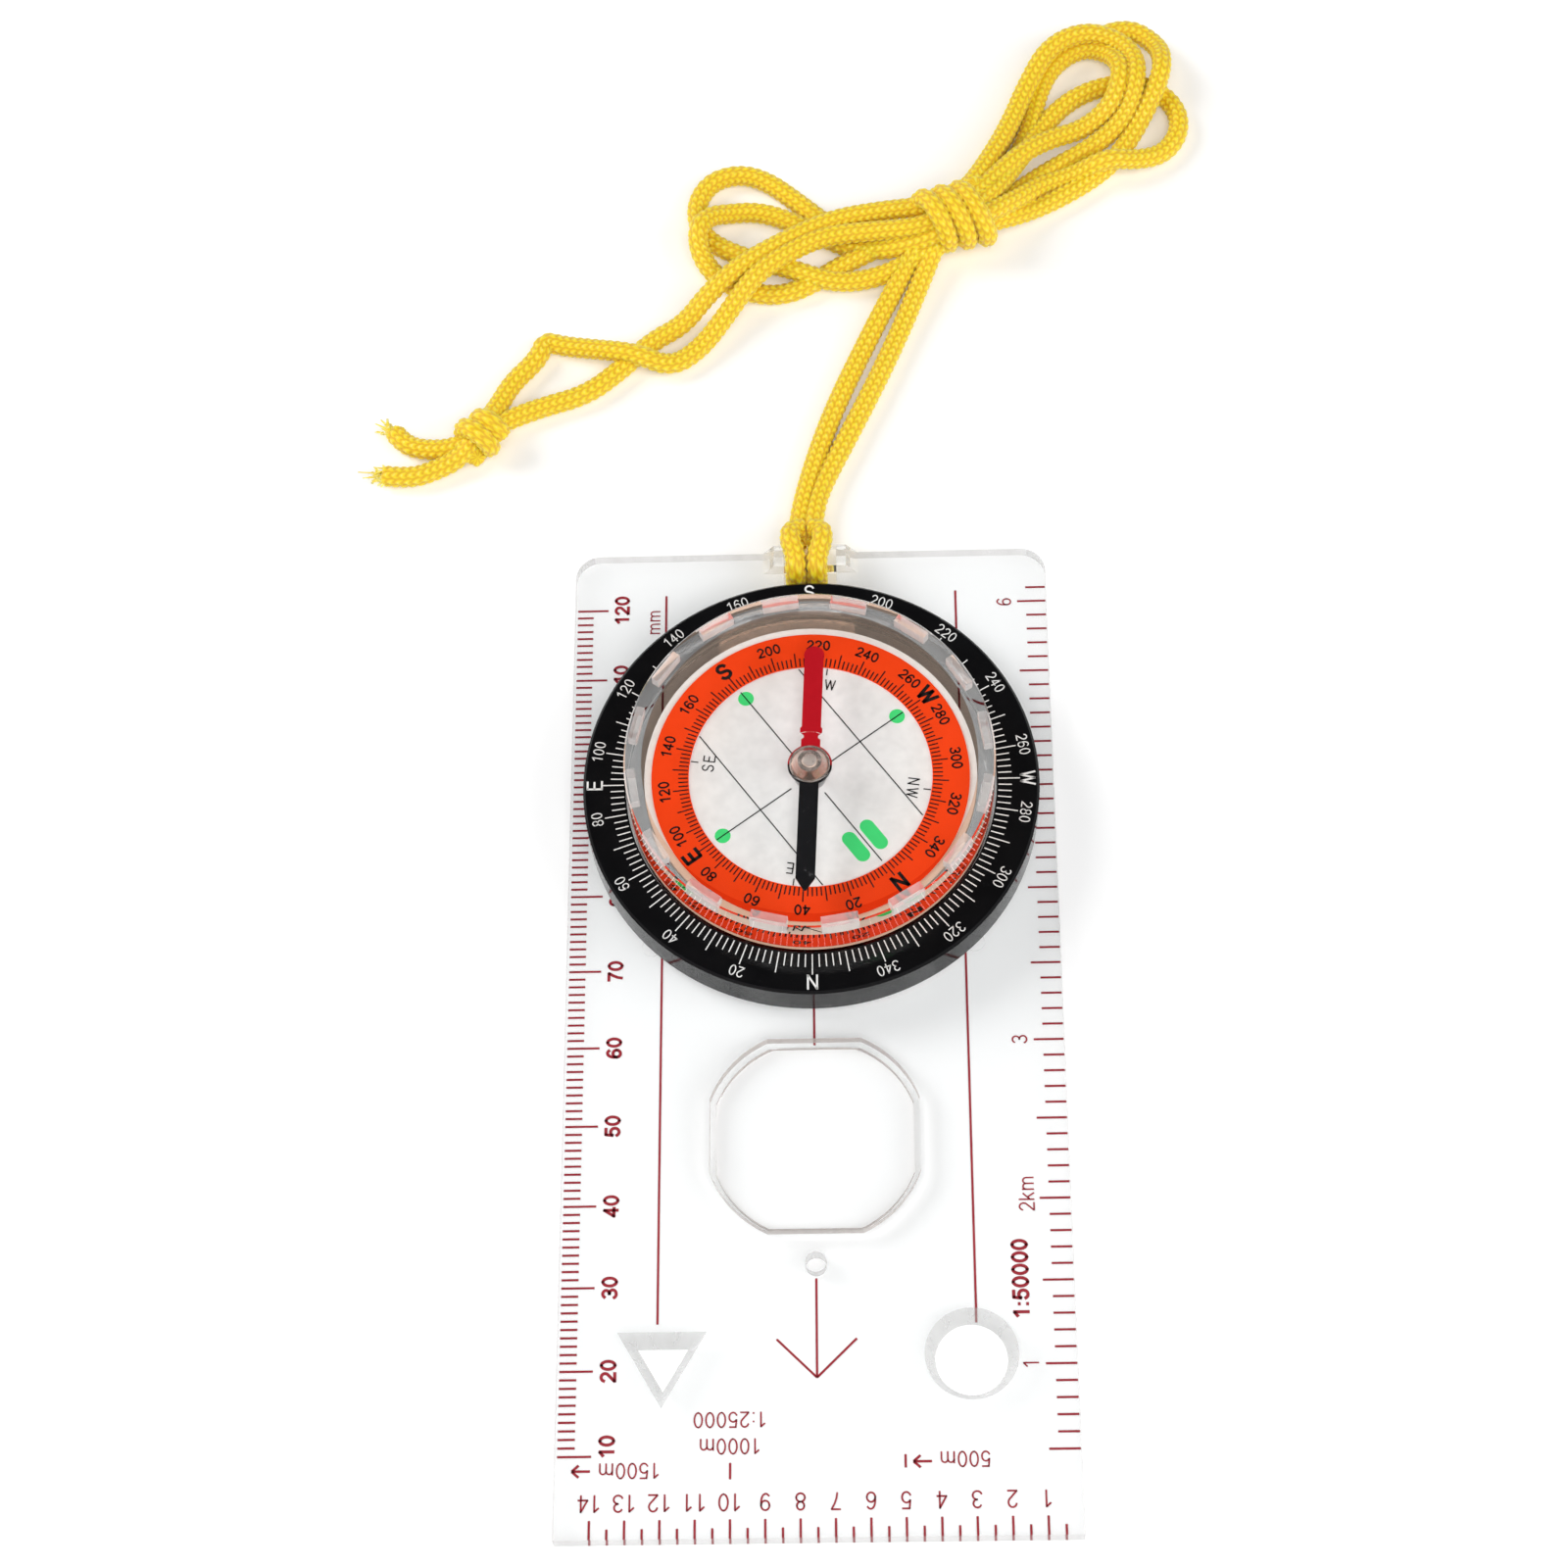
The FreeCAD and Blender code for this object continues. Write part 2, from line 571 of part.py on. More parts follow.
STEM_LEFT = [(-1.9, 66.6, 1.5), (-1.1, 72.0, 1.5), (1.0, 79.5, 1.5), (4.1, 87.8, 1.5), (9.3, 99.6, 1.5),
             (13.2, 107.6, 2.0), (16.4, 111.2, 2.8)]
STEM_RIGHT = [(1.0, 66.6, 1.5), (1.9, 72.4, 1.5), (5.0, 80.6, 1.5), (8.8, 89.5, 1.5), (13.0, 99.0, 1.5),
              (16.2, 106.4, 2.0), (18.6, 110.4, 2.8)]
RIGHT_LOOPS = [(24.0, 118.4, 2.8), (27.6, 126.6, 2.8), (31.2, 137.0, 2.8), (37.0, 142.6, 2.8),
               (44.4, 143.0, 2.8), (48.4, 137.6, 2.8), (47.8, 130.2, 2.8), (42.2, 125.2, 2.8),
               (34.8, 120.8, 2.8), (27.0, 114.4, 2.8)]
LEFT_LOOPS = [(15.2, 113.8, 2.4), (6.4, 113.9, 2.4), (-2.6, 119.0, 2.4), (-9.6, 120.9, 2.4),
              (-14.2, 117.2, 2.4), (-13.9, 111.2, 2.4), (-8.6, 107.2, 2.4), (-0.6, 105.2, 2.4),
              (7.6, 106.6, 2.4), (15.8, 110.2, 2.4)]
TAIL_UPPER = [(16.2, 114.2, 6.4), (9.7, 114.9, 6.4), (0.6, 112.9, 6.3), (-8.4, 107.4, 6.0),
              (-15.2, 101.4, 2.4), (-22.9, 95.4, 1.5), (-28.6, 89.4, 1.5), (-35.4, 87.0, 1.5),
              (-40.4, 84.2, 2.0)]
TAIL_LOWER = [(16.0, 111.8, 6.0), (9.0, 111.7, 6.0), (1.5, 110.6, 6.1), (-5.0, 107.0, 5.8),
              (-9.6, 101.8, 2.6), (-14.4, 95.2, 1.5), (-20.0, 92.9, 2.7), (-25.6, 94.9, 4.3),
              (-30.6, 96.2, 2.0), (-35.0, 96.9, 1.5), (-38.6, 91.4, 1.5), (-41.0, 86.0, 2.0)]
END_UPPER = [(-46.4, 81.2, 2.0), (-50.2, 81.0, 1.5), (-53.2, 82.2, 1.5), (-54.6, 84.2, 1.5)]
END_LOWER = [(-45.2, 79.4, 2.0), (-48.8, 77.6, 1.5), (-52.2, 76.8, 1.5), (-55.6, 77.2, 1.5)]


WRAP_MIDDLE = (20.8, 114.0, 4.7)
END_KNOT_MIDDLE = (-43.2, 82.6, 3.3)
KNOT_TURN = -63.0


def knot(label, middle):
    """A knot's outer shape: a round-ended barrel lying along a heading."""
    kind = label.replace("lanyard_", "")
    barrel = sized("Part::Ellipsoid", label + "_barrel", Radius1="Sizes.%s_radius" % kind,
                   Radius2="Sizes.%s_half_length" % kind, Radius3="Sizes.%s_radius" % kind)
    barrel.Placement = FreeCAD.Placement(FreeCAD.Vector(*middle),
                                         FreeCAD.Rotation(FreeCAD.Vector(0, 0, 1), KNOT_TURN))
    return keep(barrel, label)


def hitch():
    """The cow hitch as one rounded block, cut away round the bridge bar."""
    block = sized("Part::Box", "hitch_block", Length="Sizes.hitch_right - Sizes.hitch_left",
                  Width="Sizes.hitch_far - Sizes.hitch_near", Height="Sizes.hitch_top - Sizes.hitch_low",
                  at_x="Sizes.hitch_left", at_y="Sizes.hitch_near", at_z="Sizes.hitch_low")
    rounded = doc.addObject("Part::Fillet", "hitch_rounded")
    rounded.Base = block
    doc.recompute()
    size = SIZES["hitch_round"]
    rounded.Edges = [(k, size, size) for k in range(1, len(block.Shape.Edges) + 1)]
    bar = sized("Part::Box", "hitch_bar_space", Length="2 * Sizes.bridge_half_foot",
                Width="Sizes.bridge_depth + 2 * Sizes.hitch_gap",
                Height="Sizes.bridge_rise + 2 * Sizes.hitch_gap", at_x="-Sizes.bridge_half_foot",
                at_y="Sizes.plate_length / 2 - Sizes.bridge_depth - Sizes.hitch_gap",
                at_z="Sizes.plate_thick - Sizes.hitch_gap")
    return keep(boolean("Part::Cut", "hitch", rounded, bar), "lanyard_hitch")


def lanyard():
    """The cord, from its hitch on the bridge to its two cut ends."""
    hitch()
    radius = SIZES["cord_radius"]
    cord_tube("lanyard_stem_left", STEM_LEFT, radius)
    cord_tube("lanyard_stem_right", STEM_RIGHT, radius)
    cord_tube("lanyard_loops_right", RIGHT_LOOPS, SIZES["loops_right_radius"])
    cord_tube("lanyard_loops_left", LEFT_LOOPS, SIZES["loops_left_radius"])
    cord_tube("lanyard_tail_upper", TAIL_UPPER, radius)
    cord_tube("lanyard_tail_lower", TAIL_LOWER, radius)
    cord_tube("lanyard_end_upper", END_UPPER, radius)
    cord_tube("lanyard_end_lower", END_LOWER, radius)
    knot("lanyard_wrap", WRAP_MIDDLE)
    knot("lanyard_end_knot", END_KNOT_MIDDLE)


# ---------------------------------------------------------------- build

baseplate()
magnifier_lens()
bezel()
capsule_cover()
capsule_base()
needle()
lanyard()
doc.recompute()

for item in doc.Objects:
    if "Invalid" in item.State or "Error" in item.State:
        raise RuntimeError("%s did not rebuild: %s" % (item.Name, item.State))
os.makedirs("parts", exist_ok=True)
for item in PARTS:
    shape = item.Shape
    if shape.isNull() or not shape.isValid() or not shape.Solids:
        raise RuntimeError("%s has no valid solid" % item.Label)
    print("%-22s solids %d  volume %9.2f  z %.2f to %.2f"
          % (item.Label, len(shape.Solids), shape.Volume, shape.BoundBox.ZMin, shape.BoundBox.ZMax))
    shape.exportStep("parts/%s.step" % item.Label)
print("%d parts written" % len(PARTS))
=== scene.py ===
"""The looks of a clear baseplate compass with a yellow cord lanyard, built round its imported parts."""
import logging
from collections.abc import Callable, Iterable, Sequence
from dataclasses import dataclass, field
from enum import Enum

import bmesh
import bpy
import numpy as np
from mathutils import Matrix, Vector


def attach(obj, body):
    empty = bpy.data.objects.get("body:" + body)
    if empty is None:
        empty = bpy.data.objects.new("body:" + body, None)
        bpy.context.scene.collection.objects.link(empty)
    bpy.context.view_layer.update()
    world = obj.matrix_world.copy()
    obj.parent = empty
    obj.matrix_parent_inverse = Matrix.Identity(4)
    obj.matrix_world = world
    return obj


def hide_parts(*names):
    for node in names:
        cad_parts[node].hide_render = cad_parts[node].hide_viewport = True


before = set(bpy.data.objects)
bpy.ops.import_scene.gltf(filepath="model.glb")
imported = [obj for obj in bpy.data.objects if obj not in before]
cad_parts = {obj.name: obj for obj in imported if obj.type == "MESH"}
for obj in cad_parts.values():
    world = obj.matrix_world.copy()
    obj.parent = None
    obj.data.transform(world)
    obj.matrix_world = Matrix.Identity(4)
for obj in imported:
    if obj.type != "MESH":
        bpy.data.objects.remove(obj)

LOG = logging.getLogger("compass")
MM = 0.001
TAU = 2.0 * np.pi
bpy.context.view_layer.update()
Array = np.ndarray
Point = tuple[float, float, float]


class Body(Enum):
    """The rigid bodies that pieces ride on."""

    PLATE = "plate"
    BEZEL = "bezel"
    CAPSULE = "capsule"


# ------------------------------------------------------------------ shader maths


class Val:
    """A number carried by a shader socket. Python's operators on it add Math nodes."""

    def __init__(self, graph: "Graph", socket: bpy.types.NodeSocket) -> None:
        """Wraps a socket of a graph."""
        self.graph = graph
        self.socket = socket

    def math(self, operation: str, *others: "Val | float", flip: bool = False) -> "Val":
        """One Math node on this value.

        Args:
            operation: Blender's name of the operation.
            others: the further inputs.
            flip: whether this value comes second.

        Returns:
            The node's result.
        """
        inputs = [self, *others]
        if flip:
            inputs.reverse()
        return self.graph.node("ShaderNodeMath", {"operation": operation}, *inputs)

    def __add__(self, other: "Val | float") -> "Val":
        """This plus other."""
        return self.math("ADD", other)

    def __radd__(self, other: float) -> "Val":
        """Other plus this."""
        return self.math("ADD", other, flip=True)

    def __sub__(self, other: "Val | float") -> "Val":
        """This minus other."""
        return self.math("SUBTRACT", other)

    def __rsub__(self, other: float) -> "Val":
        """Other minus this."""
        return self.math("SUBTRACT", other, flip=True)

    def __mul__(self, other: "Val | float") -> "Val":
        """This times other."""
        return self.math("MULTIPLY", other)

    def __rmul__(self, other: float) -> "Val":
        """Other times this."""
        return self.math("MULTIPLY", other, flip=True)

    def __truediv__(self, other: "Val | float") -> "Val":
        """This over other."""
        return self.math("DIVIDE", other)

    def __rtruediv__(self, other: float) -> "Val":
        """Other over this."""
        return self.math("DIVIDE", other, flip=True)

    def __pow__(self, power: float) -> "Val":
        """This to a power."""
        return self.math("POWER", power)

    def band(self, low: float, high: float) -> "Val":
        """0 below low, 1 above high, and a smooth step between."""
        settings = {"interpolation_type": "SMOOTHSTEP"}
        return self.graph.node("ShaderNodeMapRange", settings, self, low, high, 0.0, 1.0)


class Graph:
    """The nodes of a material or of the room's light."""

    def __init__(self, owner: bpy.types.Material | bpy.types.World) -> None:
        """Clears the owner's nodes."""
        self.owner = owner
        owner.use_nodes = True
        self.tree = owner.node_tree
        self.tree.nodes.clear()

    @classmethod
    def named(cls, name: str) -> "Graph":
        """Starts an empty material of that name."""
        return cls(bpy.data.materials.new(name))

    def add(self, kind: str, settings: dict[str, object] | None = None, *values: object,
            **named: object) -> bpy.types.Node:
        """Adds a node.

        Args:
            kind: the node's type.
            settings: its own settings, which are set before its sockets.
            values: values or links for its first sockets, in order; None leaves one alone.
            named: values or links for sockets by name, with _ for a space.

        Returns:
            The node.
        """
        node = self.tree.nodes.new(kind)
        for key, value in (settings or {}).items():
            setattr(node, key, value)
        pairs = list(zip(node.inputs, values))
        pairs += [(node.inputs[key.replace("_", " ")], value) for key, value in named.items()]
        for socket, value in pairs:
            source = value.socket if isinstance(value, Val) else value
            if isinstance(source, bpy.types.NodeSocket):
                self.tree.links.new(source, socket)
            elif source is not None:
                socket.default_value = source
        return node

    def node(self, kind: str, settings: dict[str, object] | None = None, *values: object,
             out: int | str = 0, **named: object) -> Val:
        """Adds a node and gives one of its outputs as a value."""
        return Val(self, self.add(kind, settings, *values, **named).outputs[out])

    def place(self) -> Val:
        """Object coordinates, in metres."""
        return self.node("ShaderNodeTexCoord", out="Object")

    def axes(self, vector: Val) -> tuple[Val, Val, Val]:
        """The three numbers of a vector."""
        split = self.add("ShaderNodeSeparateXYZ", None, vector)
        return tuple(Val(self, split.outputs[axis]) for axis in "XYZ")

    def noise(self, vector: Val, scale: float, detail: float = 3.0, rough: float = 0.5) -> Val:
        """Noise from 0 to 1 at scale cells to the metre."""
        return self.node("ShaderNodeTexNoise", None, Vector=vector, Scale=scale, Detail=detail,
                         Roughness=rough)

    def blend(self, factor: Val | float, first: object, second: object) -> Val:
        """A colour that goes from first to second as factor goes from 0 to 1."""
        node = self.add("ShaderNodeMix", {"data_type": "RGBA"})
        for socket, value in ((node.inputs[0], factor), (node.inputs[6], first), (node.inputs[7], second)):
            source = value.socket if isinstance(value, Val) else value
            if isinstance(source, bpy.types.NodeSocket):
                self.tree.links.new(source, socket)
            else:
                socket.default_value = source
        return Val(self, node.outputs[2])

    def bump(self, height: Val, distance: float, strength: float = 1.0) -> Val:
        """A normal bent by a height, which is distance metres where it is 1."""
        return self.node("ShaderNodeBump", None, Strength=strength, Distance=distance, Height=height)

    def finish(self, shader: Val) -> bpy.types.Material:
        """Puts the shader on the material's surface."""
        self.add("ShaderNodeOutputMaterial", None, shader)
        return self.owner


def rgb(red: float, green: float, blue: float) -> tuple[float, float, float, float]:
    """A colour with full alpha."""
    return (red, green, blue, 1.0)


# ------------------------------------------------------------------ finishes


@dataclass(frozen=True)
class ClearPlastic:
    """Polished clear plastic with faint scratches, which lets lamp light straight through."""

    name: str
    tint: tuple[float, float, float] = (0.985, 0.99, 0.99)
    index: float = 1.49
    haze: float = 0.0
    scratch: float = 0.00001

    def material(self) -> bpy.types.Material:
        """Glass for sight and a clear pass for lamp light."""
        graph = Graph.named(self.name)
        place = graph.place()
        stretched = graph.node("ShaderNodeMapping", None, Vector=place, Rotation=(0.0, 0.0, 0.7),
                               Scale=(1.0, 14.0, 1.0))
        lines = graph.noise(stretched, 420.0, 2.0).math("ABSOLUTE")
        marks = lines.band(0.66, 0.7) * graph.noise(place, 90.0).band(0.5, 0.62)
        wave = graph.noise(place, 60.0, 1.0)
        roughness = marks * 0.12 + self.haze
        glass = graph.node(
            "ShaderNodeBsdfPrincipled", None, Base_Color=rgb(*self.tint), Roughness=roughness,
            IOR=self.index, Transmission_Weight=1.0,
            Normal=graph.bump(wave + marks * 0.05, self.scratch))
        clear = graph.node("ShaderNodeBsdfTransparent", None, rgb(*self.tint))
        path = graph.add("ShaderNodeLightPath")
        bounced = graph.node("ShaderNodeMixShader", None, path.outputs["Is Diffuse Ray"], glass, clear)
        return graph.finish(
            graph.node("ShaderNodeMixShader", None, path.outputs["Is Shadow Ray"], bounced, clear))


@dataclass(frozen=True)
class Wetted:
    """A face with oil or glue on one side and plastic on the other, which bends no light."""

    name: str = "wetted_face"
    tint: tuple[float, float, float] = (1.0, 1.0, 1.0)

    def material(self) -> bpy.types.Material:
        """A clear pass."""
        graph = Graph.named(self.name)
        return graph.finish(graph.node("ShaderNodeBsdfTransparent", None, rgb(*self.tint)))


@dataclass(frozen=True)
class CutEdge:
    """The side walls and other faces of clear plastic, under a thin frosted layer whose tone is painted
    light: the grey shade and pale reflections that such faces show.
    """

    name: str
    frost: float = 0.4
    # The default grey tone is painted shade for the plate's clear walls.
    tone: tuple[float, float, float] = (0.46, 0.455, 0.445)

    def material(self) -> bpy.types.Material:
        """A clear pass under a thin frosted layer of painted light, with fine upright marks and a little
        gloss.
        """
        graph = Graph.named(self.name)
        drawn = graph.node("ShaderNodeMapping", None, Vector=graph.place(), Scale=(1.0, 1.0, 0.08))
        marks = graph.noise(drawn, 700.0, 3.0)
        pale = graph.blend(marks, rgb(*(part * 0.94 for part in self.tone)), rgb(*self.tone))
        frost = graph.node("ShaderNodeBsdfPrincipled", None, Base_Color=pale, Roughness=0.3,
                           Specular_IOR_Level=0.2, Normal=graph.bump(marks, 0.000004))
        clear = graph.node("ShaderNodeBsdfTransparent", None, rgb(0.99, 0.99, 0.99))
        share = marks.band(0.2, 0.8) * 0.08 + (self.frost - 0.04)
        return graph.finish(graph.node("ShaderNodeMixShader", None, share, clear, frost))


@dataclass(frozen=True)
class Moulded:
    """Opaque moulded plastic or print: its colour drifts a little and it has a fine skin."""

    name: str
    colour: tuple[float, float, float]
    roughness: float = 0.3
    drift: float = 0.06
    grain: float = 0.000004
    coat: float = 0.0
    gloss: float = 0.5

    def material(self) -> bpy.types.Material:
        """Plastic with cloudy colour, smudged gloss and fine grain."""
        graph = Graph.named(self.name)
        place = graph.place()
        cloud = graph.noise(place, 260.0, 4.0)
        smudge = graph.noise(place, 70.0, 3.0, 0.6)
        deep = rgb(*(part * (1.0 - self.drift) for part in self.colour))
        pale = rgb(*(min(1.0, part * (1.0 + self.drift) + 0.004) for part in self.colour))
        shader = graph.node(
            "ShaderNodeBsdfPrincipled", None, Base_Color=graph.blend(cloud, deep, pale),
            Roughness=smudge.band(0.35, 0.75) * 0.08 + self.roughness, Coat_Weight=self.coat,
            Coat_Roughness=0.04, Specular_IOR_Level=self.gloss,
            Normal=graph.bump(graph.noise(place, 4000.0, 2.0), self.grain))
        return graph.finish(shader)


@dataclass(frozen=True)
class NeedlePaint:
    """Red paint on the half that points away from the near edge, and black on the other."""

    name: str
    axis_y: float
    turn: float
    red: tuple[float, float, float] = (0.50, 0.006, 0.014)
    black: tuple[float, float, float] = (0.006, 0.006, 0.007)

    def material(self) -> bpy.types.Material:
        """Two paints with a sharp edge across the hub, scuffed a little."""
        graph = Graph.named(self.name)
        place = graph.place()
        across, along, _ = graph.axes(place)
        side = (along - self.axis_y) * float(np.cos(self.turn)) - across * float(np.sin(self.turn))
        half = side.band(-0.00004, 0.00004)
        scuff = graph.noise(place, 900.0, 4.0, 0.7)
        red = graph.blend(scuff, rgb(*(part * 0.82 for part in self.red)), rgb(*self.red))
        black = graph.blend(scuff.band(0.62, 0.72), rgb(*self.black), rgb(0.05, 0.05, 0.052))
        shader = graph.node(
            "ShaderNodeBsdfPrincipled", None, Base_Color=graph.blend(half, black, red),
            Roughness=scuff * 0.2 + 0.28, Specular_IOR_Level=0.12, Normal=graph.bump(scuff, 0.00001))
        return graph.finish(shader)


@dataclass(frozen=True)
class TurnedMetal:
    """Bright metal with the fine rings that a lathe leaves round the dial's axis."""

    name: str
    colour: tuple[float, float, float]
    axis_y: float
    roughness: float = 0.2
    pitch: float = 0.00007

    def material(self) -> bpy.types.Material:
        """Metal whose rings are a sine of the distance from the axis."""
        graph = Graph.named(self.name)
        place = graph.place()
        across, along, _ = graph.axes(place)
        centred = along - self.axis_y
        radius = (across * across + centred * centred).math("SQRT")
        rings = (radius * (TAU / self.pitch)).math("SINE") * 0.5 + 0.5
        wear = graph.noise(place, 1500.0, 3.0)
        shader = graph.node(
            "ShaderNodeBsdfPrincipled", None,
            Base_Color=graph.blend(wear, rgb(*(part * 0.85 for part in self.colour)), rgb(*self.colour)),
            Metallic=1.0, Roughness=wear * 0.15 + self.roughness,
            Normal=graph.bump(rings + wear * 0.5, 0.000004))
        return graph.finish(shader)


@dataclass(frozen=True)
class KnitYarn:
    """Shiny knitted polyester yarn, with painted shade in the creases and painted highlights on the crowns.
    """

    name: str
    # deep is painted shade for the creases, body is the yarn's own yellow, and crown is a painted highlight
    # for the crowns.
    deep: tuple[float, float, float] = (0.86, 0.50, 0.002)
    body: tuple[float, float, float] = (1.0, 0.76, 0.010)
    crown: tuple[float, float, float] = (1.0, 0.95, 0.42)

    def material(self) -> bpy.types.Material:
        """Colour by the stitches' relief, which paints shade into the creases and highlights onto the crowns,
        with filaments that follow the cord.
        """
        graph = Graph.named(self.name)
        relief = graph.node("ShaderNodeAttribute", {"attribute_name": "relief"}, out="Fac")
        lay = graph.node("ShaderNodeUVMap", {"uv_map": "lay"})
        fine = graph.node("ShaderNodeMapping", None, Vector=lay, Rotation=(0.0, 0.0, 0.6),
                          Scale=(2.0, 9.0, 1.0))
        filament = graph.noise(fine, 1.6, 3.0, 0.6)
        place = graph.place()
        patch = graph.noise(place, 120.0, 3.0)
        # Painted shade: where the relief is low, in the creases, the colour goes to deep.
        lit = graph.blend((relief + (filament - 0.5) * 0.5).band(0.02, 0.5), rgb(*self.deep),
                          rgb(*self.body))
        # Painted highlight: where the relief is high, on the crowns and in patches, the colour goes pale.
        top = (relief + (filament - 0.5) * 0.7 + (patch - 0.5) * 0.3).band(0.62, 1.05)
        shader = graph.node(
            "ShaderNodeBsdfPrincipled", None, Base_Color=graph.blend(top, lit, rgb(*self.crown)),
            Roughness=0.62 - filament * 0.34, Sheen_Weight=0.25, Sheen_Roughness=0.4,
            Subsurface_Weight=0.15, Subsurface_Radius=(0.0012, 0.0006, 0.0001), Subsurface_Scale=1.0,
            Normal=graph.bump(filament, 0.00009))
        return graph.finish(shader)


# ------------------------------------------------------------------ meshes


@dataclass
class Skin:
    """Loose surfaces gathered into one mesh."""

    points: list[Array] = field(default_factory=list)
    faces: list[list[int]] = field(default_factory=list)
    count: int = 0

    def add(self, points: Array, faces: Iterable[Sequence[int]]) -> None:
        """Adds points and the faces between them."""
        self.faces += [[int(corner) + self.count for corner in face] for face in faces]
        self.points.append(np.asarray(points, float))
        self.count += len(points)

    def prism(self, outline: Array, low: float, high: float) -> None:
        """A closed upright slab: an outline at two heights with walls between.

        Args:
            outline: x and y of its corners, anticlockwise.
            low: the height of its lower face.
            high: the height of its upper face.
        """
        count = len(outline)
        ring = np.arange(count)
        after = (ring + 1) % count
        walls = np.stack([ring, after, after + count, ring + count], axis=1)
        levels = [np.column_stack([outline, np.full(count, level)]) for level in (low, high)]
        self.add(np.vstack(levels), [*walls, ring[::-1], ring + count])

    def mesh(self, name: str, smooth: bool = False) -> bpy.types.Object:
        """The gathered surfaces as an object, its doubles merged and its faces outwards."""
        data = bpy.data.meshes.new(name)
        data.from_pydata(np.vstack(self.points), [], self.faces)
        work = bmesh.new()
        work.from_mesh(data)
        bmesh.ops.remove_doubles(work, verts=work.verts, dist=1e-7)
        bmesh.ops.recalc_face_normals(work, faces=work.faces)
        work.to_mesh(data)
        work.free()
        data.polygons.foreach_set("use_smooth", np.full(len(data.polygons), smooth))
        item = bpy.data.objects.new(name, data)
        bpy.context.scene.collection.objects.link(item)
        return item


def dress(item: bpy.types.Object, *materials: bpy.types.Material) -> None:
    """Gives an object these materials in place of its own."""
    item.data.materials.clear()
    for material in materials:
        item.data.materials.append(material)


def settle(item: bpy.types.Object, body: Body, slot: str, *replaced: str) -> bpy.types.Object:
    """Rides a piece on a body and hides the parts it stands for."""
    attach(item, body.value)
    if replaced:
        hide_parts(*replaced)
    return item


def sort_faces(item: bpy.types.Object, rule: Callable[[Array, Array], Array]) -> None:
    """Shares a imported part's faces out among its materials.

    Args:
        item: the part.
        rule: takes the faces' middles in millimetres and their normals, and gives the
            number of each face's material.
    """
    data = item.data
    columns = {}
    for name in ("center", "normal"):
        flat = np.empty(len(data.polygons) * 3)
        data.polygons.foreach_get(name, flat)
        columns[name] = flat.reshape(-1, 3)
    chosen = rule(columns["center"] / MM, columns["normal"])
    data.polygons.foreach_set("material_index", chosen.astype(np.int32))


def turned(points: Array, angle: float, centre: tuple[float, float] = (0.0, 0.0)) -> Array:
    """Points turned anticlockwise by an angle about the origin, then moved to a centre."""
    cosine, sine = np.cos(angle), np.sin(angle)
    x, y = points[:, 0], points[:, 1]
    return np.column_stack([x * cosine - y * sine + centre[0], x * sine + y * cosine + centre[1]])


# ------------------------------------------------------------------ print


class Weight(Enum):
    """A letter's stroke width, as a share of its height, and how wide it is drawn."""

    THIN = (0.1, 0.9)
    PLAIN = (0.125, 1.0)
    HEAVY = (0.17, 1.0)
    BOLD = (0.21, 1.05)

    @property
    def stroke(self) -> float:
        """The width of a pen stroke."""
        return self.value[0]

    @property
    def share(self) -> float:
        """How wide the letter is, of its plain width."""
        return self.value[1]


@dataclass(frozen=True)
class Arc:
    """A stretch of an ellipse in a letter, from one angle to another in degrees."""

    x: float
    y: float
    across: float
    upward: float
    start: float
    end: float

    def points(self) -> Array:
        """Points along the stretch, about 15 degrees apart."""
        count = max(3, int(abs(self.end - self.start) / 15.0) + 1)
        angle = np.radians(np.linspace(self.start, self.end, count))
        return np.column_stack([self.x + self.across * np.cos(angle), self.y + self.upward * np.sin(angle)])


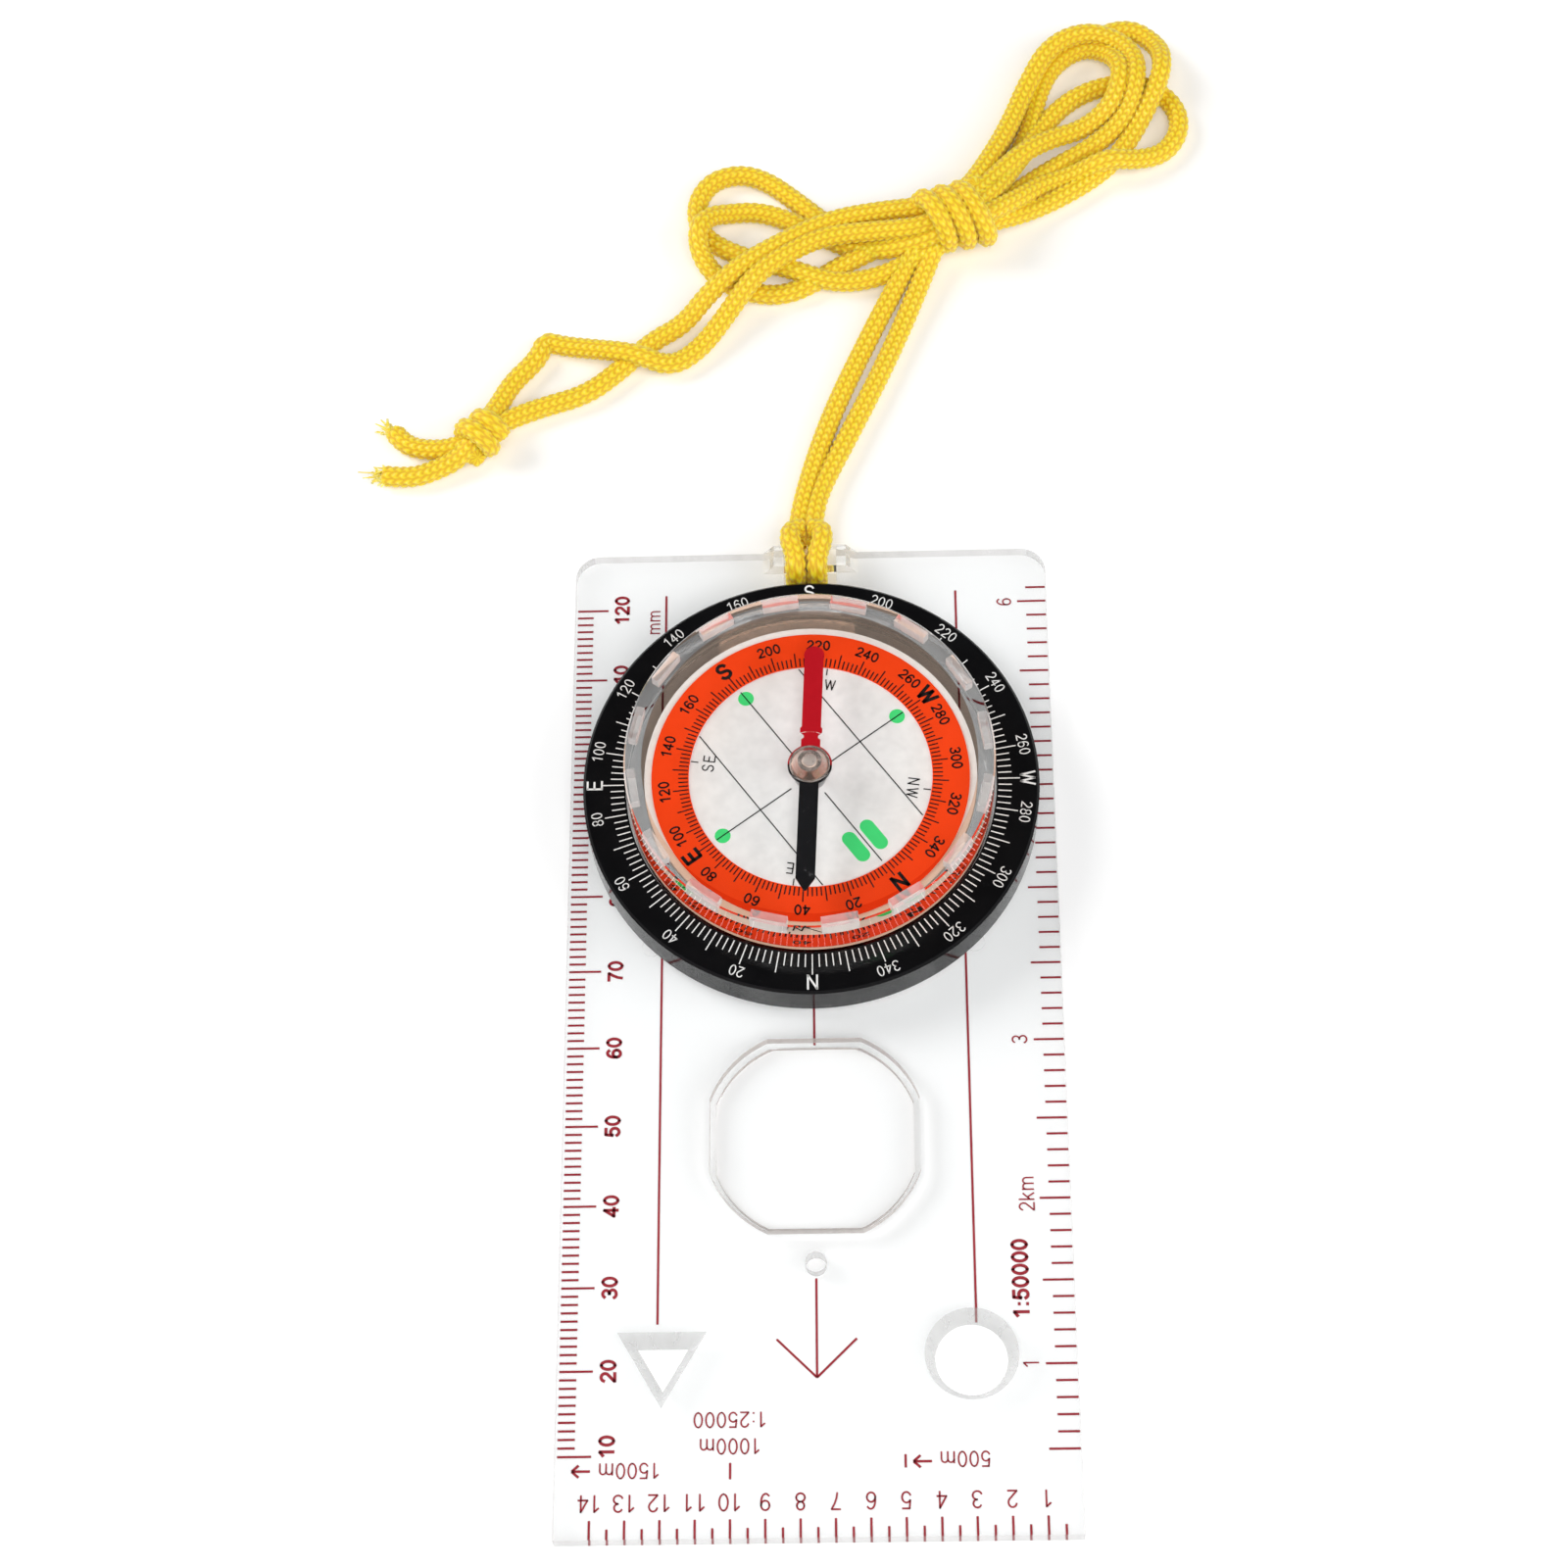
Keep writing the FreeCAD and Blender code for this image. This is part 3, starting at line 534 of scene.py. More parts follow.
SIX = (
    (Arc(0.0, 0.31, 0.25, 0.26, 0, 180),),
    (Arc(0.0, 0.31, 0.25, 0.26, 180, 360),),
    (Arc(0.03, 0.49, 0.28, 0.46, 48, 180), (-0.25, 0.3)),
)
GLYPHS = {
    "0": ((Arc(0.0, 0.5, 0.26, 0.45, 90, 270),), (Arc(0.0, 0.5, 0.26, 0.45, -90, 90),)),
    "1": (((0.09, 0.05), (0.09, 0.95)), ((0.07, 0.93), (-0.16, 0.74))),
    "2": ((Arc(0.0, 0.69, 0.25, 0.26, 165, -38), (-0.25, 0.07)), ((-0.26, 0.05), (0.27, 0.05))),
    "3": ((Arc(-0.01, 0.73, 0.24, 0.22, 155, -90),), (Arc(-0.01, 0.28, 0.27, 0.23, 90, -160),)),
    "4": (((0.12, 0.05), (0.12, 0.95)), ((0.12, 0.95), (-0.28, 0.3)), ((-0.28, 0.3), (0.28, 0.3))),
    "5": (((0.23, 0.95), (-0.18, 0.95)), ((-0.18, 0.95), (-0.23, 0.5)),
          (Arc(0.0, 0.34, 0.26, 0.29, 146, -155),)),
    "6": SIX,
    "7": (((-0.26, 0.95), (0.25, 0.95)), ((0.25, 0.93), (0.08, 0.64), (-0.04, 0.35), (-0.09, 0.05))),
    "8": ((Arc(0.0, 0.73, 0.22, 0.22, 0, 180),), (Arc(0.0, 0.73, 0.22, 0.22, 180, 360),),
          (Arc(0.0, 0.28, 0.26, 0.23, 0, 180),), (Arc(0.0, 0.28, 0.26, 0.23, 180, 360),)),
    "m": (((-0.42, 0.05), (-0.42, 0.72)), (Arc(-0.21, 0.48, 0.21, 0.21, 160, 0), (0.0, 0.05)),
          (Arc(0.21, 0.48, 0.21, 0.21, 160, 0), (0.42, 0.05))),
    "k": (((-0.22, 0.05), (-0.22, 0.95)), ((0.2, 0.7), (-0.2, 0.3)), ((-0.05, 0.43), (0.23, 0.05))),
    ":": (((0.0, 0.08), (0.0, 0.12)), ((0.0, 0.6), (0.0, 0.64))),
    "N": (((-0.28, 0.05), (-0.28, 0.95)), ((-0.26, 0.92), (0.26, 0.08)), ((0.28, 0.05), (0.28, 0.95))),
    "E": (((-0.25, 0.05), (-0.25, 0.95)), ((-0.22, 0.95), (0.26, 0.95)), ((-0.22, 0.52), (0.22, 0.52)),
          ((-0.22, 0.05), (0.28, 0.05))),
    "S": ((Arc(0.0, 0.725, 0.25, 0.225, 18, 235), Arc(0.0, 0.275, 0.28, 0.225, 60, -162)),),
    "W": (((-0.44, 0.95), (-0.22, 0.07)), ((-0.22, 0.07), (0.0, 0.93)), ((0.0, 0.93), (0.22, 0.07)),
          ((0.22, 0.07), (0.44, 0.95))),
}
ADVANCE = {"m": 1.16, "k": 0.7, ":": 0.4, "N": 1.0, "E": 0.92, "S": 0.92, "W": 1.25}
DIGIT_ADVANCE = 0.78


def pen_path(stroke: Sequence[Arc | tuple[float, float]]) -> Array:
    """The points of one pen stroke, its arcs worked out."""
    return np.vstack([part.points() if isinstance(part, Arc) else np.array([part]) for part in stroke])


def ribbon(path: Array, width: float) -> Array:
    """The outline of a pen stroke: the path moved to both sides by half the width.

    The sideways direction is the path's heading turned by a quarter turn, and both ends run
    on by a third of the width, so that strokes that meet close their corner.
    """
    ahead = np.gradient(path, axis=0)
    ahead /= np.linalg.norm(ahead, axis=1, keepdims=True)
    path = path.copy()
    path[0] -= ahead[0] * width / 3
    path[-1] += ahead[-1] * width / 3
    aside = np.column_stack([-ahead[:, 1], ahead[:, 0]]) * width / 2
    return np.vstack([path - aside, (path + aside)[::-1]])


@dataclass
class Print:
    """A layer of ink on a flat face, as thin closed slabs. Sizes are in millimetres."""

    level: float
    thick: float = 0.02
    skin: Skin = field(default_factory=Skin)

    def slab(self, outline: Array) -> None:
        """Prints a filled outline given in millimetres."""
        self.skin.prism(outline * MM, self.level * MM, (self.level + self.thick) * MM)

    def line(self, start: tuple[float, float], end: tuple[float, float], width: float) -> None:
        """Prints a straight line."""
        ahead = np.subtract(end, start)
        length = np.hypot(*ahead)
        corners = np.array([[0, -width / 2], [length, -width / 2], [length, width / 2], [0, width / 2]])
        self.slab(turned(corners, np.arctan2(ahead[1], ahead[0]), start))

    def pill(self, centre: tuple[float, float], length: float, width: float, angle: float) -> None:
        """Prints a bar with round ends, or a dot where length and width are the same."""
        turn = np.linspace(-np.pi / 2, np.pi / 2, 13)
        reach = (length - width) / 2
        cap = np.column_stack([np.cos(turn) * width / 2 + reach, np.sin(turn) * width / 2])
        outline = np.vstack([cap, -cap])
        if reach <= 0:
            outline = np.vstack([cap, -cap[1:-1]])
        self.slab(turned(outline, angle, centre))

    def text(self, words: str, centre: tuple[float, float], height: float, angle: float = 0.0,
             weight: Weight = Weight.PLAIN) -> None:
        """Prints words centred on a point.

        Args:
            words: what to print.
            centre: the middle of the printed words.
            height: the height of a digit.
            angle: how far the words are turned, in radians.
            weight: how thick the strokes are.
        """
        widths = np.array([ADVANCE.get(letter, DIGIT_ADVANCE) for letter in words]) * weight.share
        middles = np.cumsum(widths) - widths / 2 - widths.sum() / 2
        for letter, middle in zip(words, middles):
            flip = letter == "9"
            for stroke in GLYPHS["6" if flip else letter]:
                path = pen_path(stroke)
                if flip:
                    path = np.array([0.0, 1.0]) - path
                outline = ribbon(path * (weight.share, 1.0), weight.stroke) + (middle, -0.5)
                self.slab(turned(outline * height, angle, centre))

    def piece(self, name: str, body: Body, slot: str, material: bpy.types.Material) -> bpy.types.Object:
        """The whole layer as one piece on a body."""
        item = self.skin.mesh(name)
        dress(item, material)
        settle(item, body, slot)
        LOG.info("%s: %d faces", name, len(item.data.polygons))
        return item


# ------------------------------------------------------------------ sub-assemblies


@dataclass
class Baseplate:
    """The clear plate, its magnifier and the crimson print on its underside. Millimetres."""

    crimson: tuple[float, float, float] = (0.30, 0.004, 0.016)
    ink_level: float = 0.03
    stroke: float = 0.27
    half_width: float = 30.0
    half_length: float = 63.5
    thick: float = 2.7
    ledge: float = 0.9
    meridian: float = 18.5
    first_label_rise: float = 1.1
    window_y: float = -15.4
    window_reach: float = 12.7

    def build(self) -> None:
        """Dresses the plate and lens, and prints the scales."""
        clear = ClearPlastic("clear_plate").material()
        # The plate's inner walls: a grey frosted layer of painted shade.
        edge = CutEdge("plate_edge_painted_shade").material()
        wet = Wetted("glued_face").material()
        # Round the magnifier's window: a pinkish grey frosted layer of painted reflection.
        rim = CutEdge("window_rim_painted_reflection", frost=0.75, tone=(0.5, 0.43, 0.40)).material()
        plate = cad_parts["baseplate"]
        # The plate's outer sides: a grey frosted layer of painted shade.
        side = CutEdge("plate_side_painted_shade", frost=0.3, tone=(0.5, 0.46, 0.45)).material()
        dress(plate, clear, edge, wet, rim, side)
        sort_faces(plate, self.plate_face)
        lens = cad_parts["magnifier_lens"]
        dress(lens, ClearPlastic("clear_lens").material(), wet)
        sort_faces(lens, self.lens_face)
        ink = Print(self.ink_level)
        self.millimetres(ink)
        self.kilometres(ink)
        self.near_edge(ink)
        self.guides(ink)
        crimson = Moulded("crimson_ink", self.crimson, roughness=0.45, drift=0.12).material()
        ink.piece("plate_print", Body.PLATE, "clear_plate", crimson)

    def plate_face(self, centres: Array, normals: Array) -> Array:
        """0 for clear faces, 1 for walls, 2 under the lens, 3 round the window and 4 for the sides; walls,
        window and sides take frosted layers of painted light.
        """
        wall = (np.abs(normals[:, 2]) < 0.95) & (centres[:, 2] < self.thick + 0.01)
        aside = np.maximum(np.abs(centres[:, 0]), np.abs(centres[:, 1] - self.window_y))
        window = wall & (aside < self.window_reach)
        ledge = (np.abs(centres[:, 2] - self.ledge) < 0.02) & (normals[:, 2] > 0.9)
        side = wall & ((np.abs(centres[:, 0]) > self.half_width - 0.1)
                       | (np.abs(centres[:, 1]) > self.half_length - 0.1))
        return np.select([ledge, window, side, wall], [2, 3, 4, 1], 0)

    def lens_face(self, centres: Array, normals: Array) -> Array:
        """0 for the lens's clear faces and 1 for its rim's side and foot, which glue covers."""
        side = np.abs(normals[:, 2]) < 0.3
        aside = np.maximum(np.abs(centres[:, 0]) - 11.6, np.abs(centres[:, 1] - self.window_y) - 11.2)
        foot = (normals[:, 2] < -0.9) & (aside > 0)
        return (side | foot).astype(int)

    def millimetres(self, ink: Print) -> None:
        """The rule along the left edge: 10 to 120, a tick each millimetre."""
        start = -self.half_width + 0.2
        for mark in range(10, 121):
            reach = 3.9 if mark % 10 == 0 else 2.0
            y = mark - self.half_length
            ink.line((start, y), (start + reach, y), self.stroke)
        for mark in range(10, 121, 10):
            above = self.first_label_rise if mark == 10 else 0.0
            ink.text(str(mark), (-24.15, mark - self.half_length + above), 1.75, np.pi / 2, Weight.BOLD)
        ink.text("mm", (-20.1, 54.7), 1.75, np.pi / 2, Weight.THIN)

    def kilometres(self, ink: Print) -> None:
        """The rule along the right edge: a tick each 2 mm, longer each 5 ticks."""
        end = self.half_width - 0.05
        for step in range(57):
            y = 10.25 + 2.0 * step - self.half_length
            reach = 3.6 if step % 5 == 0 else 2.5
            ink.line((end - reach, y), (end, y), self.stroke)
        for words, y in (("1", -43.3), ("3", -3.2), ("6", 56.7)):
            ink.text(words, (24.65, y), 1.9, np.pi / 2, Weight.THIN)
        ink.text("2km", (24.8, -22.7), 1.9, np.pi / 2, Weight.THIN)
        ink.text("1:50000", (23.75, -33.1), 1.84, np.pi / 2, Weight.BOLD)

    def near_edge(self, ink: Print) -> None:
        """The 4 mm grid on the near edge, and the 1:25000 scale above it, read from the far side."""
        edge = 0.02 - self.half_length
        for step in range(28):
            x = self.half_width - 2.0 - 2.0 * step
            reach = 2.6 if step % 2 else 1.6
            ink.line((x, edge), (x, edge + reach), self.stroke)
        for number in range(1, 15):
            x = self.half_width - 4.0 * number
            ink.text(str(number), (x, -58.95), 2.1, np.pi, Weight.THIN)
        ink.text("1:25000", (-10.0, -49.4), 1.9, np.pi, Weight.THIN)
        ink.text("1000m", (-10.0, -52.5), 1.9, np.pi, Weight.THIN)
        ink.text("1500m", (-21.5, -55.2), 1.9, np.pi, Weight.THIN)
        ink.text("500m", (16.8, -54.3), 1.9, np.pi, Weight.THIN)
        ink.line((-10.0, -56.3), (-10.0, -54.4), self.stroke)
        ink.line((10.0, -55.2), (10.0, -53.65), self.stroke)
        for x, y in ((-28.1, -55.2), (10.9, -54.5)):
            ink.line((x, y), (x + 2.1, y), 0.3)
            ink.line((x, y), (x + 0.8, y + 0.7), 0.3)
            ink.line((x, y), (x + 0.8, y - 0.7), 0.3)

    def guides(self, ink: Print) -> None:
        """The index line, the two meridian lines and the direction arrow."""
        for x in (-self.meridian, self.meridian):
            ink.line((x, -38.0), (x, 58.5), self.stroke)
        ink.line((0.0, -3.3), (0.0, 19.0), self.stroke)
        ink.line((0.0, -32.7), (0.0, -44.56), self.stroke)
        for side in (-1.0, 1.0):
            ink.line((0.0, -44.56), (side * 4.65, -39.96), self.stroke)


@dataclass
class Bezel:
    """The glossy black ring and its white degree print. Millimetres."""

    axis_y: float = 28.4
    top: float = 7.75
    tick_foot: float = 22.95
    tick_short: float = 1.65
    tick_long: float = 2.65
    letter_radius: float = 26.55
    number_height: float = 1.4
    letter_height: float = 1.95

    def build(self) -> None:
        """Dresses the ring and keeper and prints the degrees."""
        black = Moulded("bezel_black", (0.003, 0.003, 0.0035), roughness=0.08, drift=0.1, gloss=0.15)
        dress(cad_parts["bezel_ring"], black.material())
        keeper = Moulded("keeper_black", (0.02, 0.02, 0.022), roughness=0.4)
        dress(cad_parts["bezel_keeper"], keeper.material())
        ink = Print(self.top + 0.005)
        rose(ink, (0.0, self.axis_y), -90.0, self.tick_foot, self.tick_short, self.tick_long,
             self.letter_radius, self.number_height, self.letter_height, 0.14,
             (Weight.PLAIN, Weight.THIN))
        white = Moulded("white_ink", (0.78, 0.78, 0.77), roughness=0.4).material()
        ink.piece("bezel_print", Body.BEZEL, "bezel_black", white)


def rose(ink: Print, centre: tuple[float, float], north: float, foot: float, short: float, long: float,
         letter_radius: float, number_height: float, letter_height: float, stroke: float,
         weights: tuple[Weight, Weight]) -> None:
    """Prints a degree ring: a tick each 2 degrees, a number each 20 and a letter at each quarter.

    Args:
        ink: the layer to print on.
        centre: the ring's middle.
        north: the angle from +X at which its 0 stands, in degrees. It counts clockwise.
        foot: the radius where ticks start.
        short: the length of a tick.
        long: the length of each fifth tick.
        letter_radius: the radius of the middles of numbers and letters.
        number_height: the height of a digit.
        letter_height: the height of a letter.
        stroke: the width of a tick.
        weights: the weights of letters and of numbers.
    """
    for degrees in range(0, 360, 2):
        angle = np.radians(north - degrees)
        ahead = np.array([np.cos(angle), np.sin(angle)])
        reach = long if degrees % 10 == 0 else short
        ink.line(tuple(centre + ahead * foot), tuple(centre + ahead * (foot + reach)), stroke)
    letters = {0: "N", 90: "E", 180: "S", 270: "W"}
    for degrees in [*(spot for spot in range(20, 360, 20) if spot != 180), *letters]:
        angle = np.radians(north - degrees)
        middle = tuple(centre + np.array([np.cos(angle), np.sin(angle)]) * letter_radius)
        if degrees in letters:
            ink.text(letters[degrees], middle, letter_height, angle - np.pi / 2, weights[0])
        else:
            ink.text(str(degrees), middle, number_height, angle - np.pi / 2, weights[1])


@dataclass
class Capsule:
    """The clear oil-filled capsule, its orange dial and the black and green print. Millimetres."""

    axis_y: float = 28.4
    inner_radius: float = 20.45
    crown: float = 14.85
    crown_under: float = 13.7
    pocket_floor: float = 12.3
    pocket_middle: float = 21.65
    step_low: float = 5.35
    floor: float = 6.4
    ring_top: float = 6.6
    dial_turn: float = 36.4
    fine_line: float = 0.14
    boss_reach: float = 2.1

    def build(self) -> None:
        """Dresses the shells, film and plug and prints the dial."""
        clear = ClearPlastic("clear_capsule", index=1.48).material()
        wet = Wetted("oiled_face").material()
        # The inner wall's warm tint is a painted reflection of the orange dial.
        wall = Wetted("oiled_wall_painted_reflection", tint=(0.88, 0.68, 0.56)).material()
        boss = ClearPlastic("oiled_boss", index=1.1).material()
        # The dial's floor is clear; its near-white frosted layer is painted light, the bright floor seen
        # through it.
        dial = CutEdge("dial_floor_painted_light", frost=0.92, tone=(0.95, 0.95, 0.94)).material()
        # The pockets' pale frosted layer is a painted reflection of the light caught inside the crown.
        pocket = CutEdge("rim_pocket", frost=0.42, tone=(0.95, 0.93, 0.92)).material()
        for node, wetted in (("capsule_cover", self.cover_face), ("capsule_base", self.base_face)):
            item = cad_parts[node]
            dress(item, clear, wet, wall, boss, dial, pocket)
            sort_faces(item, wetted)
        film = Moulded("dial_orange", (0.9, 0.058, 0.005), roughness=0.35, drift=0.04, gloss=0.12)
        dress(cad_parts["dial_ring"], film.material())
        plug = Moulded("plug", (0.8, 0.8, 0.8), roughness=0.3)
        dress(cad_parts["filler_plug"], plug.material())
        steel = TurnedMetal("pivot_steel", (0.5, 0.5, 0.52), self.axis_y * MM, roughness=0.25)
        dress(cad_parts["pivot_pin"], steel.material())
        self.print_dial()

    def rounds(self, centres: Array, normals: Array) -> tuple[Array, Array, Array]:
        """Each face's distance from the axis, its height and the outward part of its normal."""
        flat = centres[:, :2] - np.array([0.0, self.axis_y])
        radius = np.hypot(flat[:, 0], flat[:, 1])
        outward = (normals[:, :2] * flat).sum(1) / np.maximum(radius, 1e-6)
        return radius, centres[:, 2], outward

    def cover_face(self, centres: Array, normals: Array) -> Array:
        """0 outside, 1 on the crown's underside and the foot, 2 on the inner wall, whose tint paints a
        reflection, 5 in the pockets, whose frosted layer paints a pale reflection.
        """
        radius, height, outward = self.rounds(centres, normals)
        inner = (height < self.crown_under) & (radius < self.inner_radius)
        foot = height < self.step_low + 0.1
        ring = (np.abs(radius - self.pocket_middle) < 0.66) & (height > self.pocket_floor)
        pocket = ring & (height < self.crown - 0.01)
        return np.select([inner & (np.abs(outward) > 0.5), inner | foot, pocket], [2, 1, 5], 0)

    def base_face(self, centres: Array, normals: Array) -> Array:
        """0 outside, 1 on the step that the cover stands on, 3 on the boss and 4 on the floor, whose frosted
        layer is painted light.
        """
        radius, height, outward = self.rounds(centres, normals)
        boss = (radius < self.boss_reach) & (height > self.floor + 0.05)
        inside = (radius < self.inner_radius) & (height > self.step_low + 0.1)
        step = (height > self.step_low) & (outward < 0.5) & (radius > self.inner_radius)
        floor = inside & (normals[:, 2] > 0.9)
        return np.select([boss, floor, inside | step], [3, 4, 1], 0)

    def print_dial(self) -> None:
        """The black degrees on the film, the lines, and the green marks."""
        centre = (0.0, self.axis_y)
        north = -90.0 + self.dial_turn
        degrees = Print(self.ring_top + 0.005)
        rose(degrees, centre, north, 15.0, 1.15, 1.9, 17.95, 1.3, 2.1, 0.16, (Weight.BOLD, Weight.HEAVY))
        black = Moulded("black_ink", (0.008, 0.007, 0.007), roughness=0.4, gloss=0.12).material()
        degrees.piece("dial_degrees", Body.CAPSULE, "dial_orange", black)

        ahead = np.radians(north)
        marks = Print(self.floor + 0.005)
        for side in (-1.0, 1.0):
            marks.pill(self.spot(ahead, 11.0, side * 1.35), 4.5, 1.8, ahead)
        for quarter in (0.5, 1.0, 1.5):
            marks.pill(self.spot(ahead + quarter * np.pi, 13.3, 0.0), 1.95, 1.95, 0.0)
        green = Moulded("luminous_green", (0.06, 0.72, 0.2), roughness=0.5, drift=0.08, gloss=0.12).material()
        marks.piece("luminous_marks", Body.CAPSULE, "dial_base", green)

        lines = Print(self.floor + 0.035)
        for side, reach in ((-7.6, 12.6), (0.0, 14.4), (7.6, 12.6)):
            self.through_line(lines, ahead, side, reach, 0.0 if side else 2.9)
        self.through_line(lines, ahead + np.pi / 2, 0.0, 14.2, 2.9)
        for words, turn in (("NE", 45.0), ("SE", 135.0), ("SW", 225.0), ("NW", 315.0)):
            angle = np.radians(north - turn)
            lines.text(words, self.spot(angle, 12.6, 0.0), 1.5, angle - np.pi / 2, Weight.THIN)
            lines.line(self.spot(angle, 13.9, 0.0), self.spot(angle, 14.8, 0.0), self.fine_line)
        lines.piece("dial_lines", Body.CAPSULE, "dial_base", black)

    def spot(self, angle: float, radius: float, aside: float) -> tuple[float, float]:
        """The point at a radius along an angle from the dial's middle, and aside from that line."""
        ahead = np.array([np.cos(angle), np.sin(angle)])
        left = np.array([-ahead[1], ahead[0]])
        x, y = np.array([0.0, self.axis_y]) + ahead * radius + left * aside
        return float(x), float(y)

    def through_line(self, ink: Print, angle: float, aside: float, reach: float, gap: float) -> None:
        """Prints a thin line across the dial, broken in the middle by a gap."""
        if gap == 0.0:
            ink.line(self.spot(angle, -reach, aside), self.spot(angle, reach, aside), self.fine_line)
            return
        for side in (-1.0, 1.0):
            ink.line(self.spot(angle, side * gap, aside), self.spot(angle, side * reach, aside),
                     self.fine_line)


@dataclass
class Needle:
    """The painted needle with its bright cup, cap and jewel. Millimetres."""

    axis_y: float = 28.4
    turn: float = -2.5

    def build(self) -> None:
        """Dresses the needle's parts."""
        axis = self.axis_y * MM
        paint = NeedlePaint("needle_paint", axis, float(np.radians(self.turn)))
        dress(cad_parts["needle_bar"], paint.material())
        hub = TurnedMetal("hub_metal", (0.74, 0.64, 0.58), axis, roughness=0.16)
        dress(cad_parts["needle_hub"], hub.material())
        cap = TurnedMetal("cap_metal", (0.86, 0.76, 0.69), axis, roughness=0.22)
        dress(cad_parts["hub_cap"], cap.material())
        ruby = ClearPlastic("jewel", tint=(0.75, 0.08, 0.16), index=1.76)
        dress(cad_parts["jewel_bearing"], ruby.material())


# ------------------------------------------------------------------ lanyard


@dataclass(frozen=True)
class Centreline:
    """A path with its length so far, unit headings and a steady sideways direction."""

    points: Array
    run: Array
    ahead: Array
    side: Array
    up: Array

    @classmethod
    def through(cls, dense: Array, step: float) -> "Centreline":
        """A path resampled to even steps.

        The heading is the path's gradient. The side is heading x up, carried across steep
        stretches by interpolation and kept from flipping by the running product of the signs
        of neighbouring sides' dot products.

        Args:
            dense: closely spaced points along the path.
            step: the distance between the new points.

        Returns:
            The centreline.
        """
        hops = np.linalg.norm(np.diff(dense, axis=0), axis=1)
        so_far = np.concatenate([[0.0], np.cumsum(hops)])
        run = np.linspace(0.0, so_far[-1], max(8, int(so_far[-1] / step)))
        points = np.column_stack([np.interp(run, so_far, dense[:, axis]) for axis in range(3)])
        ahead = np.gradient(points, run, axis=0)
        ahead /= np.linalg.norm(ahead, axis=1, keepdims=True)
        flat = np.cross(ahead, [0.0, 0.0, 1.0])
        size = np.linalg.norm(flat, axis=1)
        good = size > 0.45
        sides = flat[good] / size[good, None]
        turns = np.sign((sides[1:] * sides[:-1]).sum(1))
        sides *= np.concatenate([[1.0], np.cumprod(np.where(turns == 0, 1.0, turns))])[:, None]
        side = np.column_stack([np.interp(run, run[good], sides[:, axis]) for axis in range(3)])
        side -= (side * ahead).sum(1, keepdims=True) * ahead
        side /= np.linalg.norm(side, axis=1, keepdims=True)
        return cls(points, run, ahead, side, np.cross(side, ahead))

    @classmethod
    def spline(cls, route: Sequence[Point], step: float) -> "Centreline":
        """The smooth curve that route points in metres steer, as a NURBS spline gives it."""
        curve = bpy.data.curves.new("route", "CURVE")
        curve.dimensions = "3D"
        curve.resolution_u = 24
        spline = curve.splines.new("NURBS")
        spline.points.add(len(route) - 1)
        for knot, place in zip(spline.points, route):
            knot.co = (*place, 1.0)
        spline.order_u = 3
        spline.use_endpoint_u = True
        guide = bpy.data.objects.new("route", curve)
        bpy.context.scene.collection.objects.link(guide)
        graph = bpy.context.evaluated_depsgraph_get()
        data = bpy.data.meshes.new_from_object(guide.evaluated_get(graph))
        flat = np.empty(len(data.vertices) * 3)
        data.vertices.foreach_get("co", flat)
        bpy.data.objects.remove(guide)
        bpy.data.meshes.remove(data)
        return cls.through(flat.reshape(-1, 3), step)


